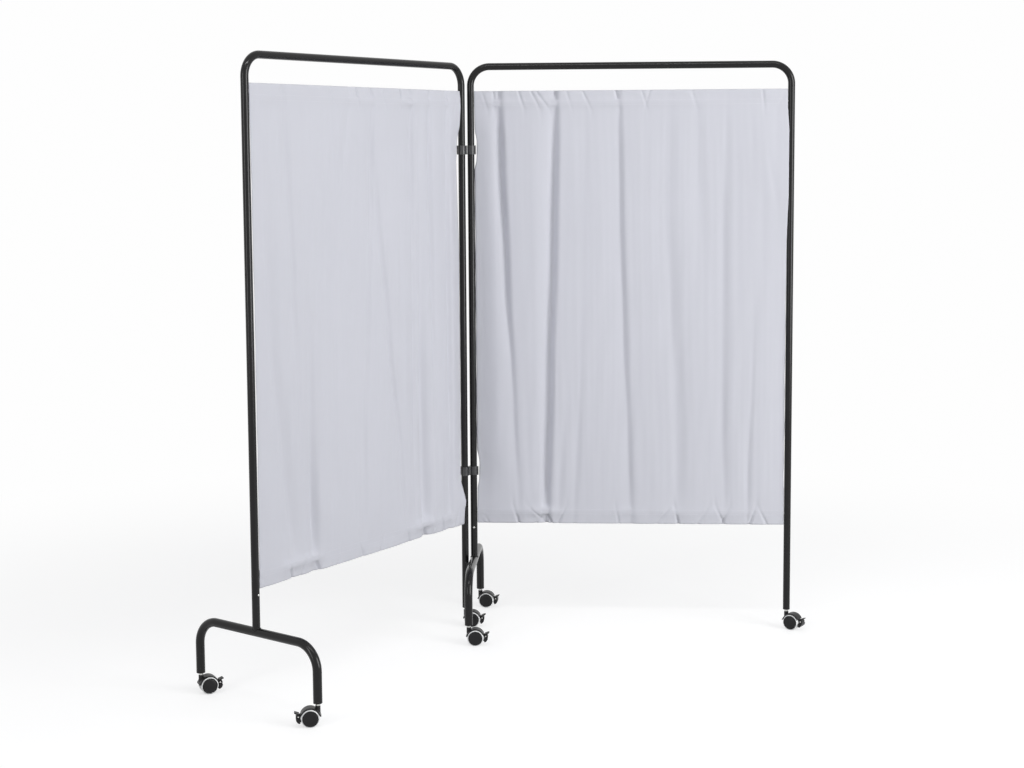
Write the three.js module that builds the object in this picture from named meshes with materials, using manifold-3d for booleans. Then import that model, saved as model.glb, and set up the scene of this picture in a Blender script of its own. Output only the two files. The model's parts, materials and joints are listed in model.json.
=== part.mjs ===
// Ward privacy screen on wheels: two curtained panels, joined by two hinge clips.
// Millimetres, +Z up, floor at z = 0. Each panel is an inverted U of bent tube. One post stands
// on a U-shaped foot with two casters, and the other post runs down to a caster of its own.
// A curtain hangs between the posts on a rod through its header and a rod through its hem.
import * as THREE from 'three';
import { mergeVertices } from 'three/addons/utils/BufferGeometryUtils.js';
import Module from 'manifold-3d';

const wasm = await Module();
wasm.setup();

// Driving dimensions of the frames
const overallHeight = 1800;
const postPitch = 1000;
const frameTube = { radius: 11, wall: 1.5, sides: 12 };
const frameBendRadius = 60;
const tubeEndHeight = 65;
const bendSteps = 5;

// Driving dimensions of the feet
const footTube = { radius: 12.5, wall: 1.5, sides: 12 };
const footPitch = 460;
const footBendRadius = 70;
const footBarHeight = 218;
const spigotLength = 115;
const spigotWall = 1.5;

// How the two panels stand in plan
const hingePitch = 32;
const foldTurn = THREE.MathUtils.degToRad(60);
const clipTurn = THREE.MathUtils.degToRad(30);
const leftFootTurn = THREE.MathUtils.degToRad(-4.5);

// Clearances: a push fit, a running fit, the seam between faces that meet, and the
// overrun that takes a cutting tool past the face that it opens
const slipFit = 0.2;
const runFit = 0.3;
const seatGap = 0.3;
const overrun = 2;

// Curtains and their rods
const curtain = {
  bottom: 338,
  headroom: 87,
  sideInset: 18,
  thickness: 2.4,
  rodFromEdge: 38,
  pocketHalfHeight: 7.5,
  pocketHalfDepth: 6.8,
  easeHeight: 34,
  foldDepth: 11,
  foldWidth: 30,
  rippleDepth: 1.6,
  ruffleDepth: 4,
  columns: 36,
};
const rod = { radius: 4, sides: 8, reach: 3 };

// Fold lines as shares of the curtain's width, from the foot post to the far post,
// with how deep each is and whether it falls forward or back
const rightFoldShares = [
  [0.07, -0.9], [0.15, 0.5], [0.25, -1], [0.36, 0.55], [0.465, -0.8],
  [0.545, 0.5], [0.625, -0.6], [0.71, 0.4], [0.8, -0.6], [0.865, 0.35], [0.93, -0.55],
];
const leftFoldShares = [
  [0.075, -0.6], [0.16, 0.55], [0.27, -0.65], [0.37, 0.45], [0.47, -0.6], [0.56, 0.5],
  [0.63, -0.55], [0.7, 0.5], [0.76, -0.8], [0.83, 0.55], [0.885, -0.6], [0.95, 0.3],
];

// Hinge clips: two jaws that spring round one post each
const clip = {
  lowerHeight: 508,
  upperDrop: 270,
  height: 28,
  wall: 2.8,
  webWidth: 11,
  mouthHalfAngle: THREE.MathUtils.degToRad(52),
  lipRadius: 1.9,
  sides: 24,
};

// Caster, in its own frame: stem on the Z axis, wheels trailing along +X
const caster = {
  wheelRadius: 25,
  trail: 21,
  width: 42,
  bodyWidth: 11.6,
  axleRadius: 3,
  axleCap: 2.7,
  wheelSides: 16,
  bossSides: 12,
  pinSides: 8,
};
const tyre = { depth: 4.8, shoulderWidth: 3.4, shoulderDrop: 2.6, faceInset: 1.8 };
const hub = { domeHeight: 1.4, rimWidth: 1.6, rimDrop: 1.2 };
const hood = {
  crownRadius: 28.5,
  lipRadius: 30.3,
  width: 36,
  wall: 2.2,
  rearAngle: THREE.MathUtils.degToRad(24),
  flareAngle: THREE.MathUtils.degToRad(140),
  lipAngle: THREE.MathUtils.degToRad(171),
  steps: 8,
};
const boss = { radius: 7, top: 56 };
const axleBossRadius = 7;
const stem = { radius: 4, bottom: 30, collarRadius: 6.5, chamfer: 0.8, socketDepth: 33 };
const socket = { flangeHeight: 3, edge: 1.2, sleeveLength: 38 };
const brake = {
  pivotRadius: 31.9,
  pivotAngle: THREE.MathUtils.degToRad(7.2),
  noseRadius: 3.2,
  earRoot: THREE.MathUtils.degToRad(8),
  earRelief: 2.4,
  pinRadius: 1.5,
  cheekWidth: 3.3,
  cheekFront: 3.6,
  cheekRear: 5.8,
  bandInner: 30.5,
  bandOuter: 37,
  bandTip: 31.6,
  bandTop: THREE.MathUtils.degToRad(-1),
  bandBottom: THREE.MathUtils.degToRad(-25),
  bandWidth: 30,
  tabSetback: 2,
  tabRise: 6,
  tabLength: 14,
  tabThickness: 2.6,
  tabAngle: THREE.MathUtils.degToRad(24),
  steps: 4,
};

// Which way each caster trails, as it was left standing, measured from the +X axis
const casterTurns = {
  left_front: THREE.MathUtils.degToRad(192),
  left_rear: THREE.MathUtils.degToRad(28),
  left_hinge: THREE.MathUtils.degToRad(1),
  right_front: THREE.MathUtils.degToRad(2),
  right_rear: THREE.MathUtils.degToRad(-3),
  right_end: THREE.MathUtils.degToRad(-30),
};

const finishes = {
  powderCoat: { color: 0x1d1c1e, roughness: 0.45, metalness: 0.3 },
  steel: { color: 0xc4c4c0, roughness: 0.25, metalness: 1 },
  blackPlastic: { color: 0x171718, roughness: 0.5, metalness: 0 },
  greyTread: { color: 0xc9cbca, roughness: 0.6, metalness: 0 },
  cloth: { color: 0xd3d4e0, roughness: 0.9, metalness: 0 },
};

// A polygon's corners stand this far out when its flats lie at the given radius
function cornerRadius(flatRadius, sides) {
  return flatRadius / Math.cos(Math.PI / sides);
}

// A polygon's flats lie this far in when its corners stand at the given radius
function flatRadius(corner, sides) {
  return corner * Math.cos(Math.PI / sides);
}

function polar(radius, angle) {
  return new THREE.Vector2(radius * Math.cos(angle), radius * Math.sin(angle));
}

// Points along an arc, both ends included, with the centre at (cx, cy)
function arcPoints(cx, cy, radius, from, to, steps) {
  return Array.from({ length: steps + 1 }, (_, i) => {
    const angle = from + (to - from) * (i / steps);
    return new THREE.Vector2(cx + radius * Math.cos(angle), cy + radius * Math.sin(angle));
  });
}

// A regular polygon with a flat, not a corner, at its lowest point
function polygon(radius, sides) {
  return Array.from({ length: sides }, (_, i) => polar(radius, (2 * i + 1) * Math.PI / sides - Math.PI / 2));
}

function toSolid(geometry) {
  const bare = geometry.clone();
  bare.deleteAttribute('normal');
  bare.deleteAttribute('uv');
  const merged = mergeVertices(bare);
  return new wasm.Manifold(new wasm.Mesh({
    numProp: 3,
    vertProperties: new Float32Array(merged.attributes.position.array),
    triVerts: new Uint32Array(merged.index.array),
  }));
}

function toGeometry(solid) {
  const mesh = solid.getMesh();
  const geometry = new THREE.BufferGeometry();
  geometry.setAttribute('position', new THREE.BufferAttribute(mesh.vertProperties, 3));
  geometry.setIndex(new THREE.BufferAttribute(mesh.triVerts, 1));
  geometry.computeVertexNormals();
  return geometry;
}

function namedMesh(name, geometry, finish) {
  const mesh = new THREE.Mesh(geometry, new THREE.MeshStandardMaterial(finish));
  mesh.name = name;
  return mesh;
}

// An upright prism or cylinder from z = from to z = to
function uprightCylinder(radius, sides, from, to) {
  const geometry = new THREE.ExtrudeGeometry(new THREE.Shape(polygon(radius, sides)), {
    depth: to - from, bevelEnabled: false,
  });
  return geometry.translate(0, 0, from);
}

// A cylinder lying along X from x = from to x = to, at the given height
function lyingCylinder(radius, sides, from, to, height) {
  return uprightCylinder(radius, sides, from, to).rotateY(Math.PI / 2).translate(0, 0, height);
}

// A side profile, drawn with x forward and y up, given a width across Y
function sideProfile(points, width) {
  const geometry = new THREE.ExtrudeGeometry(new THREE.Shape(points), { depth: width, bevelEnabled: false });
  return geometry.translate(0, 0, -width / 2).rotateX(Math.PI / 2);
}

// A profile of [radius, height] pairs turned about the Z axis
function turned(profile, sides) {
  const points = profile.map(([radius, height]) => new THREE.Vector2(radius, height));
  const geometry = new THREE.LatheGeometry(points, sides, Math.PI / sides);
  return geometry.rotateX(Math.PI / 2);
}

// A path that a tube follows by way of its own stations, so that straight runs need only
// their two ends and every bend gets even steps
class BentTubePath extends THREE.Curve {
  constructor(points, tangents) {
    super();
    this.points = points;
    this.tangents = tangents;
  }

  getPointAt(u) {
    return this.points[Math.round(u * (this.points.length - 1))].clone();
  }

  getTangentAt(u) {
    return this.tangents[Math.round(u * (this.points.length - 1))].clone();
  }
}

// An arch in the XZ plane: up from x = 0, over at the top height, and down at x = span
function archPath(span, top, bendRadius, startHeight, endHeight) {
  const points = [new THREE.Vector3(0, 0, startHeight)];
  const tangents = [new THREE.Vector3(0, 0, 1)];
  const shoulder = top - bendRadius;
  for (const [centre, firstAngle] of [[bendRadius, Math.PI], [span - bendRadius, Math.PI / 2]]) {
    for (let i = 0; i <= bendSteps; i += 1) {
      const angle = firstAngle - (i / bendSteps) * Math.PI / 2;
      points.push(new THREE.Vector3(
        centre + bendRadius * Math.cos(angle), 0, shoulder + bendRadius * Math.sin(angle)));
      tangents.push(new THREE.Vector3(Math.sin(angle), 0, -Math.cos(angle)));
    }
  }
  points.push(new THREE.Vector3(span, 0, endHeight));
  tangents.push(new THREE.Vector3(0, 0, -1));
  return new BentTubePath(points, tangents);
}

// A hollow tube along a path
function bentTube(path, tube) {
  const section = new THREE.Shape(polygon(tube.radius, tube.sides));
  section.holes.push(new THREE.Path(polygon(tube.radius - tube.wall, tube.sides)));
  return new THREE.ExtrudeGeometry(section, {
    steps: path.points.length - 1, bevelEnabled: false, extrudePath: path,
  });
}

const topRailHeight = overallHeight - frameTube.radius;
const curtainTop = overallHeight - curtain.headroom;
const curtainHeight = curtainTop - curtain.bottom;
const rodHeights = { top: curtainTop - curtain.rodFromEdge, bottom: curtain.bottom + curtain.rodFromEdge };

// Frame: one bent tube, coped over the foot's bar at one end, with a hole in each post's
// inner face for each rod
function frameGeometry(footTurn) {
  const path = archPath(postPitch, topRailHeight, frameBendRadius, footBarHeight, tubeEndHeight);
  const copeRadius = cornerRadius(flatRadius(footTube.radius, footTube.sides) + seatGap, footTube.sides);
  const cope = lyingCylinder(copeRadius, footTube.sides, -2 * footTube.radius, 2 * footTube.radius, 0)
    .rotateZ(Math.PI / 2 + footTurn).translate(0, 0, footBarHeight);
  let solid = toSolid(bentTube(path, frameTube)).subtract(toSolid(cope));
  const holeRadius = cornerRadius(rod.radius + slipFit, rod.sides);
  const nearHole = frameTube.radius - frameTube.wall - overrun;
  const farHole = frameTube.radius + overrun;
  for (const height of Object.values(rodHeights)) {
    for (const [from, to] of [[nearHole, farHole], [postPitch - farHole, postPitch - nearHole]]) {
      solid = solid.subtract(toSolid(lyingCylinder(holeRadius, rod.sides, from, to, height)));
    }
  }
  return toGeometry(solid);
}

// Foot: a bent tube across the post, with a spigot welded on top that fills the post's end
function footGeometry() {
  const path = archPath(footPitch, footBarHeight, footBendRadius, tubeEndHeight, tubeEndHeight);
  const centred = (geometry) => geometry.translate(-footPitch / 2, 0, 0).rotateZ(Math.PI / 2);
  const tube = toSolid(centred(bentTube(path, footTube)));
  const bore = { ...footTube, radius: footTube.radius - footTube.wall };
  const boreSection = new THREE.Shape(polygon(bore.radius, bore.sides));
  const boreSolid = toSolid(centred(new THREE.ExtrudeGeometry(boreSection, {
    steps: path.points.length - 1, bevelEnabled: false, extrudePath: path,
  })));
  const postBore = frameTube.radius - frameTube.wall;
  const spigotRadius = flatRadius(postBore, frameTube.sides) - slipFit;
  const spigotTop = footBarHeight + footTube.radius + spigotLength;
  const pin = toSolid(uprightCylinder(spigotRadius, frameTube.sides, footBarHeight, spigotTop));
  const pinBore = toSolid(uprightCylinder(
    spigotRadius - spigotWall, frameTube.sides, footBarHeight + footTube.radius + spigotWall, spigotTop + overrun));
  return toGeometry(tube.add(pin.subtract(pinBore).subtract(boreSolid)));
}

// Rod: reaches through both posts' inner walls
function rodGeometry(height) {
  const end = frameTube.radius - frameTube.wall - rod.reach;
  return lyingCylinder(rod.radius, rod.sides, end, postPitch - end, height);
}

// The curtain's rows from hem to header: height, how far the folds open there, how far
// the small gathers by the rods do, and half the depth of the cloth with its rod pocket
function curtainRows() {
  const half = curtain.thickness / 2;
  const { rodFromEdge, pocketHalfHeight, pocketHalfDepth, easeHeight } = curtain;
  const hem = [
    { rise: 0, foldShare: 0.35, ruffleShare: 1, depth: half },
    { rise: rodFromEdge - pocketHalfHeight, foldShare: 0, ruffleShare: 0, depth: half },
    { rise: rodFromEdge, foldShare: 0, ruffleShare: 0, depth: pocketHalfDepth },
    { rise: rodFromEdge + pocketHalfHeight, foldShare: 0, ruffleShare: 0, depth: half },
    { rise: rodFromEdge + pocketHalfHeight + easeHeight, foldShare: 0.75, ruffleShare: 0.4, depth: half },
  ];
  const header = hem.map((row) => ({ ...row, rise: curtainHeight - row.rise })).reverse();
  const middleShares = [0.3, 0.6];
  const middle = middleShares.map(
    (share) => ({ rise: share * curtainHeight, foldShare: 1, ruffleShare: 0, depth: half }));
  return [...hem, ...middle, ...header];
}

// How far the cloth stands off its rods' plane at a share of the width and a row
function clothOffset(share, row, foldShares) {
  const width = postPitch - 2 * curtain.sideInset;
  const folds = foldShares.reduce((sum, [place, depth]) => {
    const away = (share - place) * width / curtain.foldWidth;
    return sum + depth * Math.exp(-away * away);
  }, 0);
  const edgeShare = Math.min(1, 6 * Math.min(share, 1 - share));
  const wavesAcross = 11;
  const rippleWaves = 5;
  const drift = row.rise / curtainHeight;
  const ruffle = Math.sin(2 * Math.PI * wavesAcross * share + drift);
  const ripple = Math.sin(2 * Math.PI * rippleWaves * (share + 0.06 * drift));
  return edgeShare * (curtain.foldDepth * folds * row.foldShare
    + curtain.rippleDepth * ripple * row.foldShare + curtain.ruffleDepth * ruffle * row.ruffleShare);
}

// Curtain: one closed sheet whose front and back follow the folds, with a sleeve along
// each rod
function curtainGeometry(foldShares) {
  const rows = curtainRows();
  const columns = curtain.columns;
  const left = curtain.sideInset;
  const width = postPitch - 2 * curtain.sideInset;
  const positions = [];
  for (const side of [-1, 1]) {
    for (const row of rows) {
      for (let column = 0; column <= columns; column += 1) {
        const share = column / columns;
        const offset = clothOffset(share, row, foldShares);
        positions.push(left + width * share, offset + side * row.depth, curtain.bottom + row.rise);
      }
    }
  }
  const front = (row, column) => row * (columns + 1) + column;
  const back = (row, column) => rows.length * (columns + 1) + front(row, column);
  const index = [];
  const quad = (a, b, c, d) => index.push(a, b, c, a, c, d);
  for (let row = 0; row < rows.length - 1; row += 1) {
    for (let column = 0; column < columns; column += 1) {
      quad(front(row, column), front(row, column + 1), front(row + 1, column + 1), front(row + 1, column));
      quad(back(row, column + 1), back(row, column), back(row + 1, column), back(row + 1, column + 1));
    }
    quad(front(row + 1, 0), back(row + 1, 0), back(row, 0), front(row, 0));
    quad(front(row, columns), back(row, columns), back(row + 1, columns), front(row + 1, columns));
  }
  const last = rows.length - 1;
  for (let column = 0; column < columns; column += 1) {
    quad(back(0, column), back(0, column + 1), front(0, column + 1), front(0, column));
    quad(front(last, column), front(last, column + 1), back(last, column + 1), back(last, column));
  }
  const geometry = new THREE.BufferGeometry();
  geometry.setAttribute('position', new THREE.Float32BufferAttribute(positions, 3));
  geometry.setIndex(index);
  let solid = toSolid(geometry);
  const sleeveRadius = cornerRadius(rod.radius + seatGap, rod.sides);
  for (const height of Object.values(rodHeights)) {
    solid = solid.subtract(toSolid(lyingCylinder(
      sleeveRadius, rod.sides, left - overrun, left + width + overrun, height)));
  }
  return toGeometry(solid);
}

// Hinge clip: two C-shaped jaws back to back, each open at the end away from the other,
// with a rounded lip on both sides of its mouth. It lies along X, centred between the posts.
function clipGeometry() {
  const bore = cornerRadius(frameTube.radius + runFit, clip.sides);
  const outer = bore + clip.wall;
  const halfPitch = hingePitch / 2;
  const depth = { depth: clip.height, bevelEnabled: false };
  const webEnd = halfPitch - bore - clip.wall / 2;
  const webPoints = [[-webEnd, -1], [webEnd, -1], [webEnd, 1], [-webEnd, 1]];
  const web = new THREE.Shape(webPoints.map(([x, side]) => new THREE.Vector2(x, side * clip.webWidth / 2)));
  let solid = toSolid(new THREE.ExtrudeGeometry(web, depth));
  for (const side of [-1, 1]) {
    const centre = side * halfPitch;
    const mouth = side > 0 ? 0 : Math.PI;
    const from = mouth + clip.mouthHalfAngle;
    const to = mouth + 2 * Math.PI - clip.mouthHalfAngle;
    const jaw = new THREE.Shape([
      ...arcPoints(centre, 0, outer, from, to, clip.sides),
      ...arcPoints(centre, 0, bore, to, from, clip.sides),
    ]);
    solid = solid.add(toSolid(new THREE.ExtrudeGeometry(jaw, depth)));
    for (const angle of [from, to]) {
      const lipCentre = polar(outer - clip.wall / 2 + clip.lipRadius - clip.wall / 2, angle);
      const lip = uprightCylinder(clip.lipRadius, 8, 0, clip.height);
      solid = solid.add(toSolid(lip.translate(centre + lipCentre.x, lipCentre.y, 0)));
    }
  }
  return toGeometry(solid.translate([0, 0, -clip.height / 2]));
}

const collarTop = tubeEndHeight - socket.flangeHeight;
const wheelInner = caster.bodyWidth / 2 + runFit;
const hubRadius = caster.wheelRadius - tyre.depth;

// Leg socket: a plug in the tube's end, with a flange that covers the cut edge
function socketGeometry(tube) {
  const sleeve = flatRadius(tube.radius - tube.wall, tube.sides) - slipFit;
  const bore = cornerRadius(stem.radius + slipFit, tube.sides);
  const flangeTop = tubeEndHeight - seatGap;
  const top = tubeEndHeight + socket.sleeveLength;
  return turned([
    [bore, collarTop], [tube.radius - socket.edge, collarTop], [tube.radius, collarTop + socket.edge],
    [tube.radius, flangeTop], [sleeve, flangeTop], [sleeve, top], [bore, top], [bore, collarTop],
  ], tube.sides);
}

// Stem: a steel pin with a collar between the leg and the caster's body
function stemGeometry() {
  const top = collarTop + stem.socketDepth;
  const { radius, bottom, collarRadius, chamfer } = stem;
  return turned([
    [0, bottom], [radius - chamfer, bottom], [radius, bottom + chamfer],
    [radius, boss.top + seatGap], [collarRadius, boss.top + seatGap],
    [collarRadius, collarTop - seatGap], [radius, collarTop - seatGap],
    [radius, top - chamfer], [radius - chamfer, top], [0, top],
  ], caster.pinSides);
}

// The hood's outer radius about the axle: even over the wheels, then flared to the front lip
function hoodRadius(angle) {
  const t = THREE.MathUtils.clamp((angle - hood.flareAngle) / (hood.lipAngle - hood.flareAngle), 0, 1);
  return hood.crownRadius + (hood.lipRadius - hood.crownRadius) * t * t;
}

// Points on the hood, set in from its outer face and listed from rear to front
function hoodArc(inset) {
  return Array.from({ length: hood.steps + 1 }, (_, i) => {
    const angle = hood.rearAngle + (hood.lipAngle - hood.rearAngle) * (i / hood.steps);
    const place = polar(hoodRadius(angle) - inset, angle);
    return new THREE.Vector2(caster.trail + place.x, caster.wheelRadius + place.y);
  });
}

function brakePivot() {
  const place = polar(brake.pivotRadius, brake.pivotAngle);
  return new THREE.Vector2(caster.trail + place.x, caster.wheelRadius + place.y);
}

// A round bar across the caster, centred on its middle plane
function crossBar(centre, radius, width, sides) {
  return sideProfile(polygon(radius, sides).map((point) => point.add(centre)), width);
}

// Housing: hood, central body, stem boss, axle pins and the ear that holds the brake
function housingGeometry() {
  const axle = new THREE.Vector2(caster.trail, caster.wheelRadius);
  const shell = toSolid(sideProfile([...hoodArc(0), ...hoodArc(hood.wall).reverse()], hood.width));
  const body = toSolid(sideProfile([
    ...hoodArc(hood.wall / 2),
    ...arcPoints(axle.x, axle.y, axleBossRadius, 1.2 * Math.PI, 1.85 * Math.PI, brake.steps),
  ], caster.bodyWidth));
  const pivot = brakePivot();
  const ear = toSolid(sideProfile([
    polar(hood.crownRadius - hood.wall, brake.earRoot).add(axle),
    ...arcPoints(pivot.x, pivot.y, brake.noseRadius, -Math.PI / 2, Math.PI / 2, brake.steps),
    polar(hood.crownRadius - hood.wall / 2, hood.rearAngle + brake.earRoot / 2).add(axle),
    axle,
  ], caster.bodyWidth));
  const wheelWell = toSolid(crossBar(
    axle, cornerRadius(hood.crownRadius - hood.wall, 2 * caster.wheelSides), hood.width, 2 * caster.wheelSides));
  const post = toSolid(uprightCylinder(boss.radius, caster.bossSides, caster.wheelRadius, boss.top));
  const stemBore = toSolid(uprightCylinder(
    cornerRadius(stem.radius + runFit, caster.pinSides), caster.pinSides,
    stem.bottom - seatGap, boss.top + overrun));
  const axleWidth = caster.width - 2 * caster.axleCap - 2 * runFit;
  const axlePins = toSolid(crossBar(axle, caster.axleRadius, axleWidth, caster.pinSides));
  const brakePin = toSolid(crossBar(
    pivot, brake.pinRadius, caster.bodyWidth + 2 * (runFit + brake.cheekWidth), caster.pinSides));
  const solid = post.subtract(wheelWell).add(shell).add(body).add(ear).add(axlePins).add(brakePin);
  return toGeometry(solid.subtract(stemBore));
}

// Hub: a dished black wheel body whose domed outer face hides the axle's end
function hubGeometry() {
  const bore = cornerRadius(caster.axleRadius + runFit, caster.wheelSides);
  const outer = caster.width / 2;
  const rim = outer - hub.domeHeight;
  return turned([
    [0, outer - caster.axleCap], [bore, outer - caster.axleCap], [bore, wheelInner],
    [hubRadius - runFit, wheelInner], [hubRadius - runFit, rim - hub.rimDrop],
    [hubRadius - hub.rimWidth, rim], [0, outer],
  ], caster.wheelSides);
}

// Tyre: a pale tread ring round the hub, rounded off towards the outer face
function tyreGeometry() {
  const corner = cornerRadius(caster.wheelRadius, caster.wheelSides);
  const bore = cornerRadius(hubRadius, caster.wheelSides);
  const outerFace = caster.width / 2 - tyre.faceInset - hub.domeHeight;
  return turned([
    [bore, wheelInner + runFit], [corner, wheelInner + runFit], [corner, outerFace - tyre.shoulderWidth],
    [corner - tyre.shoulderDrop, outerFace], [bore, outerFace], [bore, wheelInner + runFit],
  ], caster.wheelSides);
}

// Brake lever: cheeks on a pin, a leaf behind both tyres that thins towards its tip, and a
// tab for the toe
function brakeGeometry() {
  const pivot = brakePivot();
  const axle = new THREE.Vector2(caster.trail, caster.wheelRadius);
  const cheekOuter = caster.bodyWidth + 2 * (runFit + brake.cheekWidth);
  const leafBack = Array.from({ length: brake.steps + 1 }, (_, i) => {
    const share = i / brake.steps;
    const radius = brake.bandTip + (brake.bandOuter - brake.bandTip) * Math.sin(share * Math.PI / 2);
    return polar(radius, brake.bandBottom + (brake.bandTop - brake.bandBottom) * share).add(axle);
  });
  const leaf = toSolid(sideProfile([
    ...leafBack,
    ...arcPoints(axle.x, axle.y, brake.bandInner, brake.bandTop, brake.bandBottom, brake.steps),
  ], brake.bandWidth));
  const along = polar(1, brake.tabAngle);
  const up = new THREE.Vector2(-along.y, along.x);
  const tabRoot = pivot.clone().add(new THREE.Vector2(-brake.tabSetback, brake.tabRise));
  const tabPoint = (run, rise) => tabRoot.clone().addScaledVector(along, run).addScaledVector(up, rise);
  const tab = toSolid(sideProfile([
    tabPoint(0, 0), tabPoint(brake.tabLength, 0),
    tabPoint(brake.tabLength, brake.tabThickness), tabPoint(0, brake.tabThickness),
  ], cheekOuter));
  const halfTab = brake.tabThickness / 2;
  const bandShares = { top: 0.12, edge: 0.08 };
  const bandSpan = brake.bandTop - brake.bandBottom;
  const bandDepth = brake.bandOuter - brake.bandInner;
  const intoBand = brake.bandTop - bandShares.top * bandSpan;
  const cheeks = toSolid(sideProfile([
    polar(brake.bandInner + bandShares.edge * bandDepth, intoBand).add(axle),
    polar(brake.bandOuter - bandShares.edge * bandDepth, intoBand).add(axle),
    pivot.clone().add(new THREE.Vector2(brake.cheekRear, brake.pinRadius)),
    tabPoint(brake.tabRise, halfTab), tabPoint(halfTab, halfTab),
    pivot.clone().add(new THREE.Vector2(-brake.cheekFront, brake.pinRadius)),
  ], cheekOuter));
  const roomRadius = brake.noseRadius + runFit;
  const roomWidth = caster.bodyWidth + 2 * runFit;
  const roomReach = roomRadius + brake.earRelief;
  const roomCorners = [[-2, -1], [0, -1], [0, 1], [-2, 1]].map(
    ([x, y]) => new THREE.Vector2(x, y).multiplyScalar(roomReach).add(pivot));
  const earRoom = toSolid(crossBar(
    pivot, cornerRadius(roomRadius, 2 * caster.bossSides), roomWidth, 2 * caster.bossSides,
  )).add(toSolid(sideProfile(roomCorners, roomWidth)));
  const pinHole = toSolid(crossBar(
    pivot, cornerRadius(brake.pinRadius + runFit, caster.pinSides), cheekOuter + overrun, caster.pinSides));
  return toGeometry(cheeks.subtract(earRoom).add(leaf).add(tab).subtract(pinHole));
}

const casterParts = {
  housing: housingGeometry(),
  hub: hubGeometry(),
  tyre: tyreGeometry(),
  stem: stemGeometry(),
  brake: brakeGeometry(),
};

// Caster with its stem and leg socket, standing on the origin and trailing along +X
function buildCaster(name, tube) {
  const group = new THREE.Group();
  group.add(namedMesh(`${name}_leg_socket`, socketGeometry(tube), finishes.blackPlastic));
  group.add(namedMesh(`${name}_caster_stem`, casterParts.stem, finishes.steel));
  const swivel = new THREE.Group();
  swivel.add(namedMesh(`${name}_caster_housing`, casterParts.housing, finishes.blackPlastic));
  swivel.add(namedMesh(`${name}_brake_lever`, casterParts.brake, finishes.blackPlastic));
  for (const [side, turn] of [['left', -Math.PI / 2], ['right', Math.PI / 2]]) {
    for (const [piece, finish] of [['hub', finishes.blackPlastic], ['tyre', finishes.greyTread]]) {
      const mesh = namedMesh(`${name}_${side}_${piece}`, casterParts[piece], finish);
      mesh.position.set(caster.trail, 0, caster.wheelRadius);
      mesh.rotation.set(turn, 0, 0);
      swivel.add(mesh);
    }
  }
  group.add(swivel);
  return { group, swivel };
}

// Panel: foot post at the origin, far post at x = postPitch, foot along Y.
// The two casters under the foot turn with it, and all stand as they were left.
function buildPanel(side, foldShares, panelTurn, footTurn, farCaster) {
  const panel = new THREE.Group();
  panel.rotation.z = panelTurn;
  panel.add(namedMesh(`${side}_frame`, frameGeometry(footTurn), finishes.powderCoat));
  panel.add(namedMesh(`${side}_curtain`, curtainGeometry(foldShares), finishes.cloth));
  for (const [place, height] of Object.entries(rodHeights)) {
    panel.add(namedMesh(`${side}_${place}_rod`, rodGeometry(height), finishes.steel));
  }
  const foot = new THREE.Group();
  foot.rotation.z = footTurn;
  foot.add(namedMesh(`${side}_foot`, footGeometry(), finishes.powderCoat));
  panel.add(foot);
  const legs = [
    [foot, `${side}_front`, footTube, 0, -footPitch / 2, footTurn],
    [foot, `${side}_rear`, footTube, 0, footPitch / 2, footTurn],
    [panel, farCaster, frameTube, postPitch, 0, 0],
  ];
  for (const [parent, name, tube, x, y, parentTurn] of legs) {
    const { group, swivel } = buildCaster(name, tube);
    group.position.set(x, y, 0);
    swivel.rotation.z = casterTurns[name] - panelTurn - parentTurn;
    parent.add(group);
  }
  return panel;
}

const screen = new THREE.Group();
const clipAlong = new THREE.Vector3(Math.cos(clipTurn), Math.sin(clipTurn), 0);
const rightPanel = buildPanel('right', rightFoldShares, 0, 0, 'right_end');
rightPanel.position.copy(clipAlong).multiplyScalar(hingePitch / 2);
const leftPanel = buildPanel('left', leftFoldShares, foldTurn, leftFootTurn, 'left_hinge');
leftPanel.position.copy(clipAlong).multiplyScalar(-hingePitch / 2)
  .sub(new THREE.Vector3(Math.cos(foldTurn), Math.sin(foldTurn), 0).multiplyScalar(postPitch));
screen.add(rightPanel, leftPanel);
const clipHeights = { lower: clip.lowerHeight, upper: overallHeight - clip.upperDrop };
for (const [place, height] of Object.entries(clipHeights)) {
  const mesh = namedMesh(`${place}_hinge_clip`, clipGeometry(), finishes.blackPlastic);
  mesh.position.z = height;
  mesh.rotation.z = clipTurn;
  screen.add(mesh);
}

// The origin is on the floor, at the middle of the screen's plan
screen.updateMatrixWorld(true);
const middle = new THREE.Box3().setFromObject(screen, true).getCenter(new THREE.Vector3());
screen.position.set(-middle.x, -middle.y, 0);

export default screen;
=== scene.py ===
# Ward privacy screen on wheels: two curtained panels of bent steel tube, joined by two clips.
import json
import math

import bmesh
import bpy
import numpy as np
from mathutils import Matrix, Vector


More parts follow.
